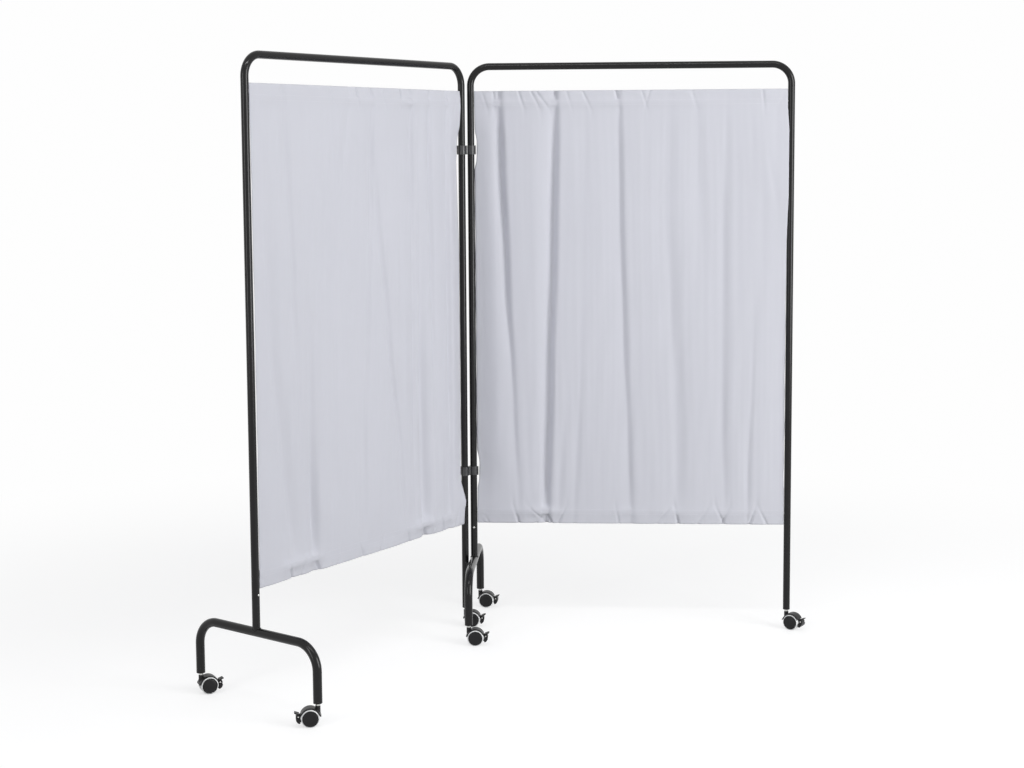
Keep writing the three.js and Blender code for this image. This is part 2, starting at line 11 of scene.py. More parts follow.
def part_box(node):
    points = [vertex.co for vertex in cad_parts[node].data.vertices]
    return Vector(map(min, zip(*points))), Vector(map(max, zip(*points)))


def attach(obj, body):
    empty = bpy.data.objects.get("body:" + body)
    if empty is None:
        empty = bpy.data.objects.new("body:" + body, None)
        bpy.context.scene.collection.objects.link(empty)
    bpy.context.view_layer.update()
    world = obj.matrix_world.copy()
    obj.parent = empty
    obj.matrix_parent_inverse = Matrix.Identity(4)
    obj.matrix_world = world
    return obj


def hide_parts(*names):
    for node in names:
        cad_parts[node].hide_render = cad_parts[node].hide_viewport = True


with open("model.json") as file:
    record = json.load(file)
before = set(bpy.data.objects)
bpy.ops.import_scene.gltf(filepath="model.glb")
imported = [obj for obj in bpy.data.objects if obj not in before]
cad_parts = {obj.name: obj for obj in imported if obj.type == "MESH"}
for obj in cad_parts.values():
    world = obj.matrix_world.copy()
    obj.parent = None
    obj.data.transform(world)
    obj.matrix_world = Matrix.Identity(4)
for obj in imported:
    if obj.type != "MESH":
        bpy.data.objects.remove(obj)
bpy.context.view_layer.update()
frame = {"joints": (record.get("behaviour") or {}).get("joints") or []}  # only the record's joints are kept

# ---- Frames
# Each panel's frame is one length of 22 mm steel tube, bent twice into an arch and powder
# coated black. It is drilled for the curtain rods, and one end is coped and welded to the foot.
MM = 0.001
PANEL_HEIGHT = 1.8
FRAME_RADIUS = 11 * MM
FRAME_WALL = 1.5 * MM
FRAME_BEND = 60 * MM
FOOT_RADIUS = 12.5 * MM
FOOT_BAR = 218 * MM
TUBE_END = 65 * MM
HEADER_TOP = 1.713
HEM_BOTTOM = 0.338
ROD_FROM_EDGE = 38 * MM
ROD_RADIUS = 4 * MM
ROD_HEIGHTS = {"top": HEADER_TOP - ROD_FROM_EDGE, "bottom": HEM_BOTTOM + ROD_FROM_EDGE}
ROD_PLAY = 0.25 * MM
ROD_RING_GAP = 9 * MM
COPE_PLAY = 0.1 * MM
POST_RINGS = (0.27, 0.7, 1.1, 1.4)

joint_at = {joint["name"]: np.array(joint["pos_m"]) for joint in frame["joints"]}
UP = np.array([0.0, 0.0, 1.0])


def unit(vector):
    return vector / np.linalg.norm(vector)


class Place:
    """A spot on the floor with its own forward and sideways directions."""

    def __init__(self, origin, forward):
        self.origin = np.array([origin[0], origin[1], 0.0])
        self.forward = unit(np.array([forward[0], forward[1], 0.0]))
        self.sideways = np.cross(UP, self.forward)

    def put(self, points):
        points = np.asarray(points, float)
        return (self.origin + points[..., 0:1] * self.forward
                + points[..., 1:2] * self.sideways + points[..., 2:3] * UP)


panels = {}
for side, far_caster in (("left", "left_hinge"), ("right", "right_end")):
    front, rear = joint_at[f"{side}_front_swivel"], joint_at[f"{side}_rear_swivel"]
    foot_post, far_post = (front + rear) / 2, joint_at[f"{far_caster}_swivel"]
    panels[side] = {
        "panel": Place(foot_post, far_post - foot_post),
        "foot": Place(foot_post, rear - front),
        "span": float(np.linalg.norm((far_post - foot_post)[:2])),
        "foot_pitch": float(np.linalg.norm((rear - front)[:2])),
        "body": f"{side}_panel",
    }


def loft(rings, loop=False, caps=False):
    """Skins a run of rings that have the same number of points."""
    rings = np.asarray(rings, float)
    count, sides = rings.shape[:2]
    faces = []
    for i in range(count if loop else count - 1):
        a, b = i * sides, ((i + 1) % count) * sides
        faces += [(a + j, a + (j + 1) % sides, b + (j + 1) % sides, b + j) for j in range(sides)]
    if caps:
        faces += [tuple(range(sides)), tuple((count - 1) * sides + j for j in range(sides))]
    return rings.reshape(-1, 3), faces


def mesh_of(name, points, faces):
    mesh = bpy.data.meshes.new(name)
    mesh.from_pydata([tuple(p) for p in points], [], faces)
    shape = bmesh.new()
    shape.from_mesh(mesh)
    bmesh.ops.remove_doubles(shape, verts=shape.verts, dist=1e-6)
    bmesh.ops.recalc_face_normals(shape, faces=shape.faces)
    shape.to_mesh(mesh)
    shape.free()
    return mesh


def new_object(name, data):
    made = bpy.data.objects.new(name, data)
    bpy.context.scene.collection.objects.link(made)
    return made


def corners_of(mesh):
    return np.array([v.co for v in mesh.vertices])


def shell_of(mesh):
    return corners_of(mesh), [tuple(p.vertices) for p in mesh.polygons]


def as_seen(thing):
    """A mesh of an object as it looks now, with its modifiers applied; the object goes."""
    seen = thing.evaluated_get(bpy.context.evaluated_depsgraph_get())
    made = bpy.data.meshes.new_from_object(seen)
    bpy.data.objects.remove(thing)
    return made


def place_piece(name, mesh, material, body, stands_for=(), sharp_angle=38):
    """Puts a finished mesh into the scene as one piece of the screen."""
    mesh.shade_smooth()
    if sharp_angle:
        mesh.set_sharp_from_angle(angle=math.radians(sharp_angle))
    mesh.materials.clear()
    mesh.materials.append(material)
    piece = new_object(name, mesh)
    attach(piece, body)
    if stands_for:
        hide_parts(*stands_for)
    return piece


def after_modifiers(mesh, steps):
    """A mesh as it comes out of a list of (kind, settings) modifiers."""
    maker = new_object("maker", mesh)
    for kind, settings in steps:
        modifier = maker.modifiers.new(kind, kind)
        for key, value in settings.items():
            setattr(modifier, key, value)
    return as_seen(maker)


def joined(parts):
    """Several (points, faces) shells as one."""
    points, faces, count = [], [], 0
    for more, more_faces in parts:
        points.append(np.asarray(more))
        faces += [tuple(i + count for i in face) for face in more_faces]
        count += len(more)
    return np.concatenate(points), faces


def cut_away(mesh, shells, **settings):
    """A mesh with the room of some closed shells cut out of it."""
    cutter = new_object("cutter", mesh_of("cutter", *joined(shells)))
    made = after_modifiers(mesh, [
        ("BOOLEAN", {"operation": "DIFFERENCE", "object": cutter, **settings})])
    bpy.data.objects.remove(cutter)
    return made


def arch(span, top, bend, start, end, steps=24, extra=()):
    """Stations of an arch in its own XZ plane, each a place and the way the tube runs there."""
    stations = [((0, 0, z), (0, 0, 1)) for z in sorted({start, *extra})]
    for centre, first in ((bend, math.pi), (span - bend, math.pi / 2)):
        for i in range(steps + 1):
            a = first - i / steps * math.pi / 2
            stations.append(((centre + bend * math.cos(a), 0, top - bend + bend * math.sin(a)),
                             (math.sin(a), 0, -math.cos(a))))
    stations += [((span, 0, z), (0, 0, -1)) for z in sorted({end, *extra}, reverse=True)]
    return stations


def tube_rings(stations, radius, sides=40):
    rings = []
    for at, run in stations:
        at, run, across = np.array(at), np.array(run), np.array([0, 1.0, 0])
        inward = np.cross(across, run)
        turn = np.arange(sides) * 2 * math.pi / sides
        rings.append(at + radius * (np.outer(np.cos(turn), inward) + np.outer(np.sin(turn), across)))
    return np.array(rings)


def hollow_tube(stations, radius, wall, trim=None):
    """Outside and bore of a bent tube in one closed skin."""
    outside, bore = tube_rings(stations, radius), tube_rings(stations, radius - wall)
    if trim:
        trim(outside[0]), trim(bore[0])
    return loft(np.concatenate([outside, bore[::-1]]), loop=True)


def feed(tree, node, inputs):
    """Sets a node's inputs: a number or colour stays on its socket, and an output is linked to it."""
    for name, value in inputs.items():
        if isinstance(value, bpy.types.NodeSocket):
            tree.links.new(value, node.inputs[name])
        else:
            node.inputs[name].default_value = value


def new_node(tree, kind, inputs=None, **settings):
    node = tree.nodes.new(kind)
    for name, value in settings.items():
        setattr(node, name, value)
    feed(tree, node, inputs or {})
    return node


def shader_node(tree, kind, inputs=None, **settings):
    return new_node(tree, "ShaderNode" + kind, inputs, **settings)


def new_finish(name):
    material = bpy.data.materials.new(name)
    material.use_nodes = True
    return material, material.node_tree, material.node_tree.nodes["Principled BSDF"]


def surface_finish(name, dark, light, roughness, metallic=0.0, patch=9.0, grain=900.0,
                   grain_depth=0.04 * MM, rough_spread=0.12, specular=0.5):
    """A solid finish: slow colour patches, uneven sheen and a fine surface grain."""
    material, tree, shader = new_finish(name)
    where = shader_node(tree, "TexCoord").outputs["Object"]
    slow, middle, fine = (
        shader_node(tree, "TexNoise", {"Vector": where, "Scale": scale, "Detail": detail}).outputs["Fac"]
        for scale, detail in ((patch, 3), (patch * 14, 5), (grain, 4)))
    colour = shader_node(tree, "ValToRGB", {"Fac": slow})
    for element, position, shade in zip(colour.color_ramp.elements, (0.3, 0.7), (dark, light)):
        element.position, element.color = position, (*shade, 1)
    sheen = shader_node(tree, "MapRange", {
        "Value": middle, "From Min": 0.3, "From Max": 0.7,
        "To Min": roughness - rough_spread / 2, "To Max": roughness + rough_spread / 2})
    bump = shader_node(tree, "Bump", {"Height": fine, "Strength": 0.6, "Distance": grain_depth})
    feed(tree, shader, {
        "Base Color": colour.outputs["Color"], "Roughness": sheen.outputs["Result"],
        "Normal": bump.outputs["Normal"], "Metallic": metallic, "Specular IOR Level": specular})
    return material


powder_coat = surface_finish("powder_coat", (0.0035, 0.0032, 0.0035), (0.0058, 0.0054, 0.0058),
                             0.19, patch=6, grain=1100, grain_depth=0.003 * MM, rough_spread=0.05,
                             specular=0.29)

for side, panel in panels.items():
    rod_rows = [z + way * ROD_RING_GAP for z in ROD_HEIGHTS.values() for way in (-1, 1)]
    stations = arch(panel["span"], PANEL_HEIGHT - FRAME_RADIUS, FRAME_BEND, FOOT_BAR, TUBE_END,
                    extra=(*rod_rows, *POST_RINGS))
    stations = [s for s in stations if not (s[0][0] == 0 and s[0][2] < FOOT_BAR)]
    bar_way = panel["foot"].forward

    def cope(ring, panel=panel, bar_way=bar_way):
        """The post's lower end follows the round of the foot's bar."""
        level = ring * [1, 1, 0]
        out = level @ [panel["panel"].forward @ np.cross(bar_way, UP),
                       panel["panel"].sideways @ np.cross(bar_way, UP), 0]
        ring[:, 2] = FOOT_BAR + np.sqrt((FOOT_RADIUS + COPE_PLAY) ** 2 - out ** 2)

    points, faces = hollow_tube(stations, FRAME_RADIUS, FRAME_WALL, cope)
    tube = mesh_of(f"{side}_frame", points, faces)
    drills = []
    for z in ROD_HEIGHTS.values():
        for post, way in ((0, 1), (panel["span"], -1)):
            turn = np.arange(24) * math.pi / 12
            ring = np.stack([0 * turn, np.cos(turn), np.sin(turn)], 1) * (ROD_RADIUS + ROD_PLAY)
            ends = [ring + [post + way * x * MM, 0, z] for x in (6, 14)]
            drills.append(loft(ends, caps=True))
    tube = cut_away(tube, drills, solver="EXACT")
    placed = panel["panel"].put(corners_of(tube))
    tube.vertices.foreach_set("co", placed.astype(np.float32).ravel())
    place_piece(f"{side}_bent_frame", tube, powder_coat, panel["body"], [f"{side}_frame"])

# ---- Feet
# The foot is a second, thicker tube, bent into a low arch under the post and coated with it.
# A weld runs round the joint, and a plated screw through the post holds the foot's spigot.
FOOT_BEND = 70 * MM
WELD_RADIUS = 1.6 * MM
SCREW_HEIGHT = 323 * MM
steel = surface_finish("zinc_plate", (0.56, 0.56, 0.55), (0.68, 0.68, 0.66), 0.26, metallic=1.0,
                       patch=60, grain=1500, grain_depth=0.02 * MM)

for side, panel in panels.items():
    pitch = panel["foot_pitch"]
    stations = arch(pitch, FOOT_BAR, FOOT_BEND, TUBE_END, TUBE_END)
    points, faces = hollow_tube(stations, FOOT_RADIUS, FRAME_WALL)
    points = panel["foot"].put(points - [pitch / 2, 0, 0])
    place_piece(f"{side}_bent_foot", mesh_of(f"{side}_foot", points, faces), powder_coat,
                panel["body"], [f"{side}_foot"])

    turn = np.arange(120) * 2 * math.pi / 120
    ripple = 1 + 0.16 * np.abs(np.sin(turn * 13)) + 0.08 * np.sin(turn * 5 + 1)
    ring_radius = FRAME_RADIUS + 0.5 * MM
    x, y = ring_radius * np.cos(turn), ring_radius * np.sin(turn)
    z = FOOT_BAR + np.sqrt((FOOT_RADIUS + 0.3 * MM) ** 2 - np.minimum(np.abs(y), ring_radius) ** 2)
    rings = []
    for i, a in enumerate(turn):
        bead = WELD_RADIUS * ripple[i]
        section = np.arange(12) * math.pi / 6
        out = ring_radius + bead * np.cos(section)
        rings.append(np.stack([out * math.cos(a), out * math.sin(a), z[i] + bead * np.sin(section)], 1))
    points, faces = loft(rings, loop=True)
    place_piece(f"{side}_weld", mesh_of(f"{side}_weld", panel["foot"].put(points), faces),
                powder_coat, panel["body"])


def turned_rings(profile, sides=32):
    """Rings of a profile of (radius, height) pairs turned about Z."""
    turn = np.arange(sides) * 2 * math.pi / sides
    return np.array([np.stack([r * np.cos(turn), r * np.sin(turn), 0 * turn + h], 1)
                     for r, h in profile])


# Pan head: rounded rim, a shallow dome and a cross recess sunk into it
head = [(0.01, -1.2), (2.95, -1.2), (3.05, -0.9), (3.05, 0.5), (2.8, 1.1), (2.2, 1.55), (1.4, 1.8),
        (0.01, 1.85)]
head_points, head_faces = loft(turned_rings([(r * MM, h * MM) for r, h in head]), caps=True)
head_mesh = mesh_of("screw", head_points, head_faces)
recess_parts = []
for long_x, long_y in ((3.0, 0.7), (0.7, 3.0)):
    corners = np.array([(-1, -1), (1, -1), (1, 1), (-1, 1)]) * [long_x / 2 * MM, long_y / 2 * MM]
    levels = [np.column_stack([corners * share, [h * MM] * 4]) for share, h in ((0.6, 0.7), (1, 2.2))]
    recess_parts.append(loft(levels, caps=True))
head_mesh = cut_away(head_mesh, recess_parts, use_self=True)
head_points, head_faces = shell_of(head_mesh)
for side, panel in panels.items():
    stood = np.stack([head_points[:, 0], -(head_points[:, 2] + FRAME_RADIUS),
                      head_points[:, 1] + SCREW_HEIGHT], 1)
    mesh = mesh_of(f"{side}_foot_screw", panel["panel"].put(stood), head_faces)
    place_piece(f"{side}_foot_screw", mesh, steel, panel["body"], sharp_angle=30)

# ---- Curtain rods
# Two plated 8 mm rods cross each frame, one through the curtain's header and one through its
# hem. Their ends sit in the holes in the posts.
ROD_END = 6.5 * MM
ROD_CHAMFER = 0.6 * MM
TIP = 0.01 * MM

for side, panel in panels.items():
    last = panel["span"] - ROD_END
    narrow = ROD_RADIUS - ROD_CHAMFER
    profile = [(TIP, ROD_END), (narrow, ROD_END), (ROD_RADIUS, ROD_END + ROD_CHAMFER),
               (ROD_RADIUS, last - ROD_CHAMFER), (narrow, last), (TIP, last)]
    for place, z in ROD_HEIGHTS.items():
        points, faces = loft(turned_rings(profile, 28)[:, :, [2, 1, 0]] + [0, 0, z], caps=True)
        mesh = mesh_of(f"{side}_{place}_rod", panel["panel"].put(points), faces)
        place_piece(f"{side}_{place}_curtain_rod", mesh, steel, panel["body"],
                    [f"{side}_{place}_rod"])

# ---- Curtains
# One sheet of pale grey cloth hangs in each frame, cut a little wider than the gap. Its top and
# bottom edges are turned back and stitched twice, so that each rod runs in a pocket, and the
# spare width stands as a small frill above the rod and falls in soft folds below it.
CLOTH_COLUMNS = 290
CLOTH_HALF = 0.25 * MM
STITCH_LINES = (31 * MM, 45 * MM)
CLOTH_LENGTH = HEADER_TOP - HEM_BOTTOM
CUT_WIDTH, CUT_LENGTH = 1.0, 1.475
EASE = 1.006

# In millimetres: how far the cloth keeps off the rod's axis, how far in front of it the sheet
# hangs, and what a pinch's depth and width are multiplied by
ROD_STAND = 4.9
FRONT_STAND = 4.5
PINCH_DEPTH, PINCH_WIDTH = 1.9, 0.58
BLUR = (-0.08, -0.05, -0.02, 0.02, 0.05, 0.08)
SETTLING_FRAMES = 16

# Each fold: how far it reaches to its left and to its right in millimetres, then its run from
# the top down: share of the height, share of the width, and how far it stands forward there
# (less than nothing lies back)
right_folds = [
    (19, 11, [(0, 0.083, -22), (0.23, 0.095, -24), (0.4, 0.104, -17), (0.6, 0.118, -9),
              (0.75, 0.130, -5), (1, 0.145, -3)]),
    (34, 26, [(0, 0.16, -1), (0.4, 0.17, 0), (0.7, 0.165, -2), (1, 0.185, -5)]),
    (20, 11, [(0, 0.264, -19), (0.3, 0.257, -25), (0.55, 0.246, -28), (1, 0.230, -28)]),
    (18, 14, [(0, 0.30, 0), (0.6, 0.30, 0), (0.8, 0.29, -2), (1, 0.262, -6)]),
    (20, 12, [(0, 0.36, -2), (0.5, 0.35, -1), (0.8, 0.335, -3), (1, 0.315, -5)]),
    (48, 12, [(0, 0.461, -9), (0.25, 0.466, -11), (0.5, 0.475, -10), (0.7, 0.487, -7), (1, 0.503, -9)]),
    (38, 26, [(0, 0.618, -2), (0.25, 0.607, -5), (0.5, 0.627, -7), (0.65, 0.643, -6), (1, 0.652, -6)]),
    (30, 24, [(0, 0.70, -2), (0.15, 0.712, -4), (0.3, 0.72, -3), (0.5, 0.73, 0)]),
    (50, 16, [(0, 0.80, -1), (0.2, 0.793, -4), (0.5, 0.79, -6), (0.8, 0.79, -6), (1, 0.801, -5)]),
    (70, 80, [(0, 0.905, 6), (0.1, 0.91, 7), (0.19, 0.925, 7), (0.26, 0.95, 5),
              (0.34, 0.985, 2), (0.42, 1.0, 0)]),
    (16, 20, [(0.13, 0.925, 0), (0.18, 0.935, -3), (0.26, 0.955, -4),
              (0.34, 0.975, -3), (0.4, 0.985, 0)]),
    (14, 8, [(0.5, 0.89, 0), (0.65, 0.886, -2), (0.8, 0.874, -3.5), (1, 0.872, -6)]),
]
left_folds = [
    (70, 30, [(0, 0.045, -4), (0.27, 0.054, -9), (0.57, 0.083, -13),
              (0.87, 0.149, -15), (1, 0.165, -16)]),
    (38, 12, [(0, 0.142, -7), (0.4, 0.174, -7), (0.62, 0.186, -3), (1, 0.2, 0)]),
    (45, 17, [(0.3, 0.22, 0), (0.61, 0.238, -7), (0.8, 0.245, -20), (1, 0.252, -28)]),
    (32, 14, [(0, 0.351, -4), (0.24, 0.37, -4), (0.5, 0.345, -3), (1, 0.33, -3)]),
    (28, 14, [(0, 0.436, -7), (0.33, 0.375, -4), (0.6, 0.36, 0)]),
    (55, 12, [(0, 0.541, -12), (0.28, 0.53, -12), (0.5, 0.504, -10), (0.62, 0.488, -7), (1, 0.46, -7)]),
    (28, 12, [(0.1, 0.53, 0), (0.29, 0.564, -10), (0.57, 0.613, -12),
              (0.83, 0.661, -10), (1, 0.69, -7)]),
    (58, 12, [(0, 0.733, -17), (0.4, 0.732, -12), (1, 0.73, -7)]),
    (30, 24, [(0, 0.765, -3), (0.37, 0.77, -12), (0.6, 0.777, -25), (1, 0.786, -38)]),
    (18, 12, [(0, 0.82, -12), (0.4, 0.826, -12), (0.7, 0.83, -7), (1, 0.84, -4)]),
    (32, 12, [(0, 0.912, -12), (0.45, 0.918, -17), (0.8, 0.92, -14), (1, 0.91, -20)]),
]

# Pinches in the frill: share of the width at the stitching and at the cloth's edge, how deep
# and how wide each is in millimetres
right_header = [(0.014, 0.03, 2.5, 5), (0.045, 0.035, 3, 5), (0.074, 0.072, 4, 6), (0.16, 0.15, 2, 6),
                (0.205, 0.19, 2.5, 6), (0.228, 0.205, 2.5, 6), (0.268, 0.266, 4, 6), (0.31, 0.30, 1, 6),
                (0.365, 0.35, 2, 5), (0.462, 0.456, 4, 6), (0.545, 0.535, 1.5, 5), (0.553, 0.562, 1.5, 5),
                (0.70, 0.69, 1, 8), (0.913, 0.91, 1.5, 6), (0.97, 0.985, 3, 6)]
right_hem = [(0.008, 0.035, 3, 6), (0.03, 0.05, 2, 5), (0.135, 0.145, 3, 6), (0.20, 0.235, 2.5, 5),
             (0.225, 0.20, 2.5, 5), (0.236, 0.25, 5, 6), (0.285, 0.27, 2, 6), (0.459, 0.465, 1.5, 6),
             (0.61, 0.585, 2, 8), (0.648, 0.655, 4, 5), (0.735, 0.715, 2, 8), (0.785, 0.80, 3, 5),
             (0.805, 0.79, 3, 5), (0.89, 0.88, 3, 6), (0.92, 0.935, 2, 6), (0.985, 0.97, 3, 6)]
left_header = [(0.02, 0.03, 2, 5), (0.15, 0.14, 1.5, 5), (0.36, 0.35, 1.5, 6), (0.475, 0.465, 4, 5),
               (0.545, 0.54, 3.5, 5), (0.60, 0.59, 1.5, 6), (0.685, 0.678, 5, 5), (0.735, 0.73, 2, 5),
               (0.82, 0.825, 2, 5), (0.92, 0.91, 2.5, 5), (0.965, 0.98, 3, 6)]
left_hem = [(0.02, 0.04, 2, 6), (0.145, 0.155, 5, 6), (0.20, 0.19, 2, 6), (0.255, 0.27, 4.5, 6),
            (0.36, 0.35, 1.5, 6), (0.46, 0.47, 2, 6), (0.56, 0.55, 1.5, 6), (0.69, 0.70, 2.5, 6),
            (0.78, 0.795, 6, 7), (0.83, 0.82, 2, 5), (0.87, 0.88, 4, 6), (0.95, 0.94, 3, 6)]

# Side edges from the top down: share of the height, how far the edge runs out past the post's
# inner face (less than nothing is a gap), and how far it stands in front, in millimetres
right_near_edge = [(0, -0.8, 4), (0.05, -0.8, 4), (0.09, -0.8, 0), (0.108, -6, -3), (0.158, -6, -4),
                   (0.178, 0.8, -5), (0.5, 0.9, -5), (0.83, 0.8, -5), (0.853, -6, -4), (0.9, -6, -3),
                   (0.917, -0.8, 0), (0.965, -0.8, 4), (1, -0.8, 4)]
right_far_edge = [(0, -0.8, 5), (0.04, -0.5, 9), (0.09, 4, 12.6), (0.24, 4, 12.6), (0.34, -0.5, 7),
                  (0.5, -0.5, 4), (0.7, -0.5, 2), (0.9, -0.5, 3), (0.97, -0.8, 4), (1, -0.8, 4)]
left_near_edge = [(0, -0.8, 4), (0.1, -0.8, 5), (0.4, -2, 6), (0.7, -5, 3), (0.95, -2, 4), (1, -1.5, 4)]
left_far_edge = [(0, -0.5, 2), (0.02, -0.5, 5), (0.04, -0.5, 5), (0.08, -2, 2), (0.108, -9, -4),
                 (0.16, -11, -6), (0.25, -8, -5), (0.37, -1.3, -5), (0.5, -1.2, -5), (0.8, -1.2, -5),
                 (0.853, -8.5, -1), (0.898, -8.5, 0), (0.92, -4, 6), (0.94, 1.5, 11), (0.95, 3, 11.8),
                 (0.962, -0.5, 8.5), (1, -0.5, 5)]


def ease(value, low, high):
    t = np.clip((value - low) / (high - low), 0, 1)
    return t * t * (3 - 2 * t)


def cloth_rows():
    """Rows from the turned-back header over the top, down the front and up inside the hem. Each is
    its distance down from the top edge and its layer: 1 behind, 0 on the edge, -1 in front."""
    tight = np.array([4, 9, 14, 19, 24, 28, 31, 34.5, 38, 41.5, 45, 50, 56, 62]) * MM
    behind = (51, 48, 45, 41.5, 38, 34.5, 31, 27, 20, 12, 4, 1)
    header = [(d * MM, 1) for d in behind] + [(0, 0), (1 * MM, -1)]
    middle = np.linspace(tight[-1], CLOTH_LENGTH - tight[-1], 96)[1:-1]
    front_rows = [(d, -1) for d in (*tight, *middle, *(CLOTH_LENGTH - tight[::-1]))]
    hem = [(CLOTH_LENGTH - d, layer) for d, layer in header[::-1]]
    return np.array(header + front_rows + hem)


def hung_cloth(folds, pinches, near_edge, far_edge, span, creased, seed):
    """Where the cloth lies when it has been pulled on to its rods, in the panel's own place."""
    rows = cloth_rows()
    down, layer = rows[:, 0:1], rows[:, 1:2]
    across = np.linspace(0, 1, CLOTH_COLUMNS + 1)[None, :]
    from_edge = np.minimum(down, CLOTH_LENGTH - down)
    fall = down / CLOTH_LENGTH

    near, far = ([np.interp(fall, [p[0] for p in edge], [p[i] for p in edge]) for i in (1, 2)]
                 for edge in (near_edge, far_edge))
    loose = ease(from_edge, 20 * MM, 120 * MM)
    ragged_near = loose * (0.9 + 0.5 * np.sin(fall * 61 + seed) + 0.4 * np.sin(fall * 23 + 2 * seed))
    ragged_far = -loose * ease(fall, 0.3, 0.6) * (
        1 + 0.6 * np.sin(fall * 79 + seed) + 0.4 * np.sin(fall * 31))
    start = FRAME_RADIUS + (ragged_near - near[0]) * MM
    end = span - FRAME_RADIUS + (ragged_far + far[0]) * MM
    along = start + (end - start) * across

    y = np.zeros_like(along)
    for left_wide, right_wide, run in folds:
        heights, shares, forward = zip(*run)
        level = fall + 0.02 * np.sin(fall * 21 + 9 * shares[0])
        share, stand = (sum(np.interp(level + d, heights, values) for d in BLUR) / len(BLUR)
                        for values in (shares, forward))
        off = (along / span - share) * span / MM
        y -= stand * np.exp(np.where(off < 0, off / left_wide, -(off / right_wide) ** 2))
    y -= y.mean(axis=1, keepdims=True)

    # Faint upright creases all over, each wandering a little on its way down
    for i, (length, size) in enumerate(((17, 0.1), (26, 0.17), (41, 0.25), (67, 0.4))):
        wander = 0.35 * np.sin(fall * (3 + i) + i + seed) + 0.2 * np.sin(fall * (9 + i) + 2 * i)
        strength = 0.55 + 0.45 * np.sin(across * (11 + 5 * i) + 5 * fall + seed * i)
        y += creased * size * strength * np.sin(2 * math.pi * (along / MM / length + wander))

    # The front layer lies against the front of the rod, and only shallow folds cross it there
    at_rod = np.exp(-((from_edge - ROD_FROM_EDGE) / (16 * MM)) ** 2)
    y *= 0.5 + 0.5 * ease(from_edge, 30 * MM, 170 * MM)
    front = y - FRONT_STAND
    for from_this, group in zip((down, CLOTH_LENGTH - down), pinches):
        for at_stitches, at_edge, deep, wide in group:
            share = at_edge + (at_stitches - at_edge) * np.clip(from_this / STITCH_LINES[0], 0, 2)
            fade = ease(90 * MM - from_this, 0, 70 * MM)
            off = (along / span - share) * span / MM / (PINCH_WIDTH * wide)
            front += PINCH_DEPTH * deep * fade * np.exp(-off ** 2)
    spread = round(45 * MM / span * CLOTH_COLUMNS)
    padded = np.pad(front, ((0, 0), (spread, spread)), mode="edge")
    sums = np.cumsum(np.pad(padded, ((0, 0), (1, 0))), axis=1)
    around = (sums[:, 2 * spread + 1:] - sums[:, :-2 * spread - 1]) / (2 * spread + 1)
    on_rod = np.clip(0.7 * (front - around) - 6.6, -13.5, -ROD_STAND)
    front = np.clip(front * (1 - at_rod) + on_rod * at_rod, -16, 15)

    edge = ease(across, 0.075, 0.0)
    edge_far = ease(across, 0.925, 1.0)
    side_stand = near[1] * edge + far[1] * edge_far
    front = front * (1 - edge) * (1 - edge_far) - side_stand
    in_pocket = np.exp(-((from_edge - ROD_FROM_EDGE) / (9 * MM)) ** 4)
    off_rod = np.sqrt(np.maximum(ROD_STAND ** 2 - ((from_edge - ROD_FROM_EDGE) / MM) ** 2, 0))
    clear = np.minimum(front, np.where(off_rod > 0, -off_rod, front))
    front = np.where(in_pocket > 0.4, np.minimum(front, -ROD_STAND), clear)
    back = (front + 1.8) * (1 - in_pocket) + 5.2 * in_pocket
    round_edge = np.minimum(1, np.sqrt(from_edge / (3 * MM)))
    middle = (front + back) / 2
    y = np.where(layer < 0, middle + (front - middle) * round_edge,
                 np.where(layer > 0, middle + (back - middle) * round_edge, middle))
    return np.stack([along, y * MM, HEADER_TOP - down + 0 * along], 2), rows


def cloth_mesh(name, grid, rows, run):
    """The sheet as a mesh, with its place in the flat cloth kept as a UV map in metres."""
    count, columns = grid.shape[:2]
    faces = [(i * columns + j, i * columns + j + 1, (i + 1) * columns + j + 1, (i + 1) * columns + j)
             for i in range(count - 1) for j in range(columns - 1)]
    mesh = bpy.data.meshes.new(name)
    mesh.from_pydata([tuple(p) for p in grid.reshape(-1, 3)], [], faces)
    flat = mesh.uv_layers.new(name="flat_cloth")
    corner = np.zeros(len(mesh.loops), int)
    mesh.loops.foreach_get("vertex_index", corner)
    uv = np.stack([corner % columns / (columns - 1) * CUT_WIDTH, run[corner // columns]], 1)
    flat.data.foreach_set("uv", uv.astype(np.float32).ravel())
    return mesh


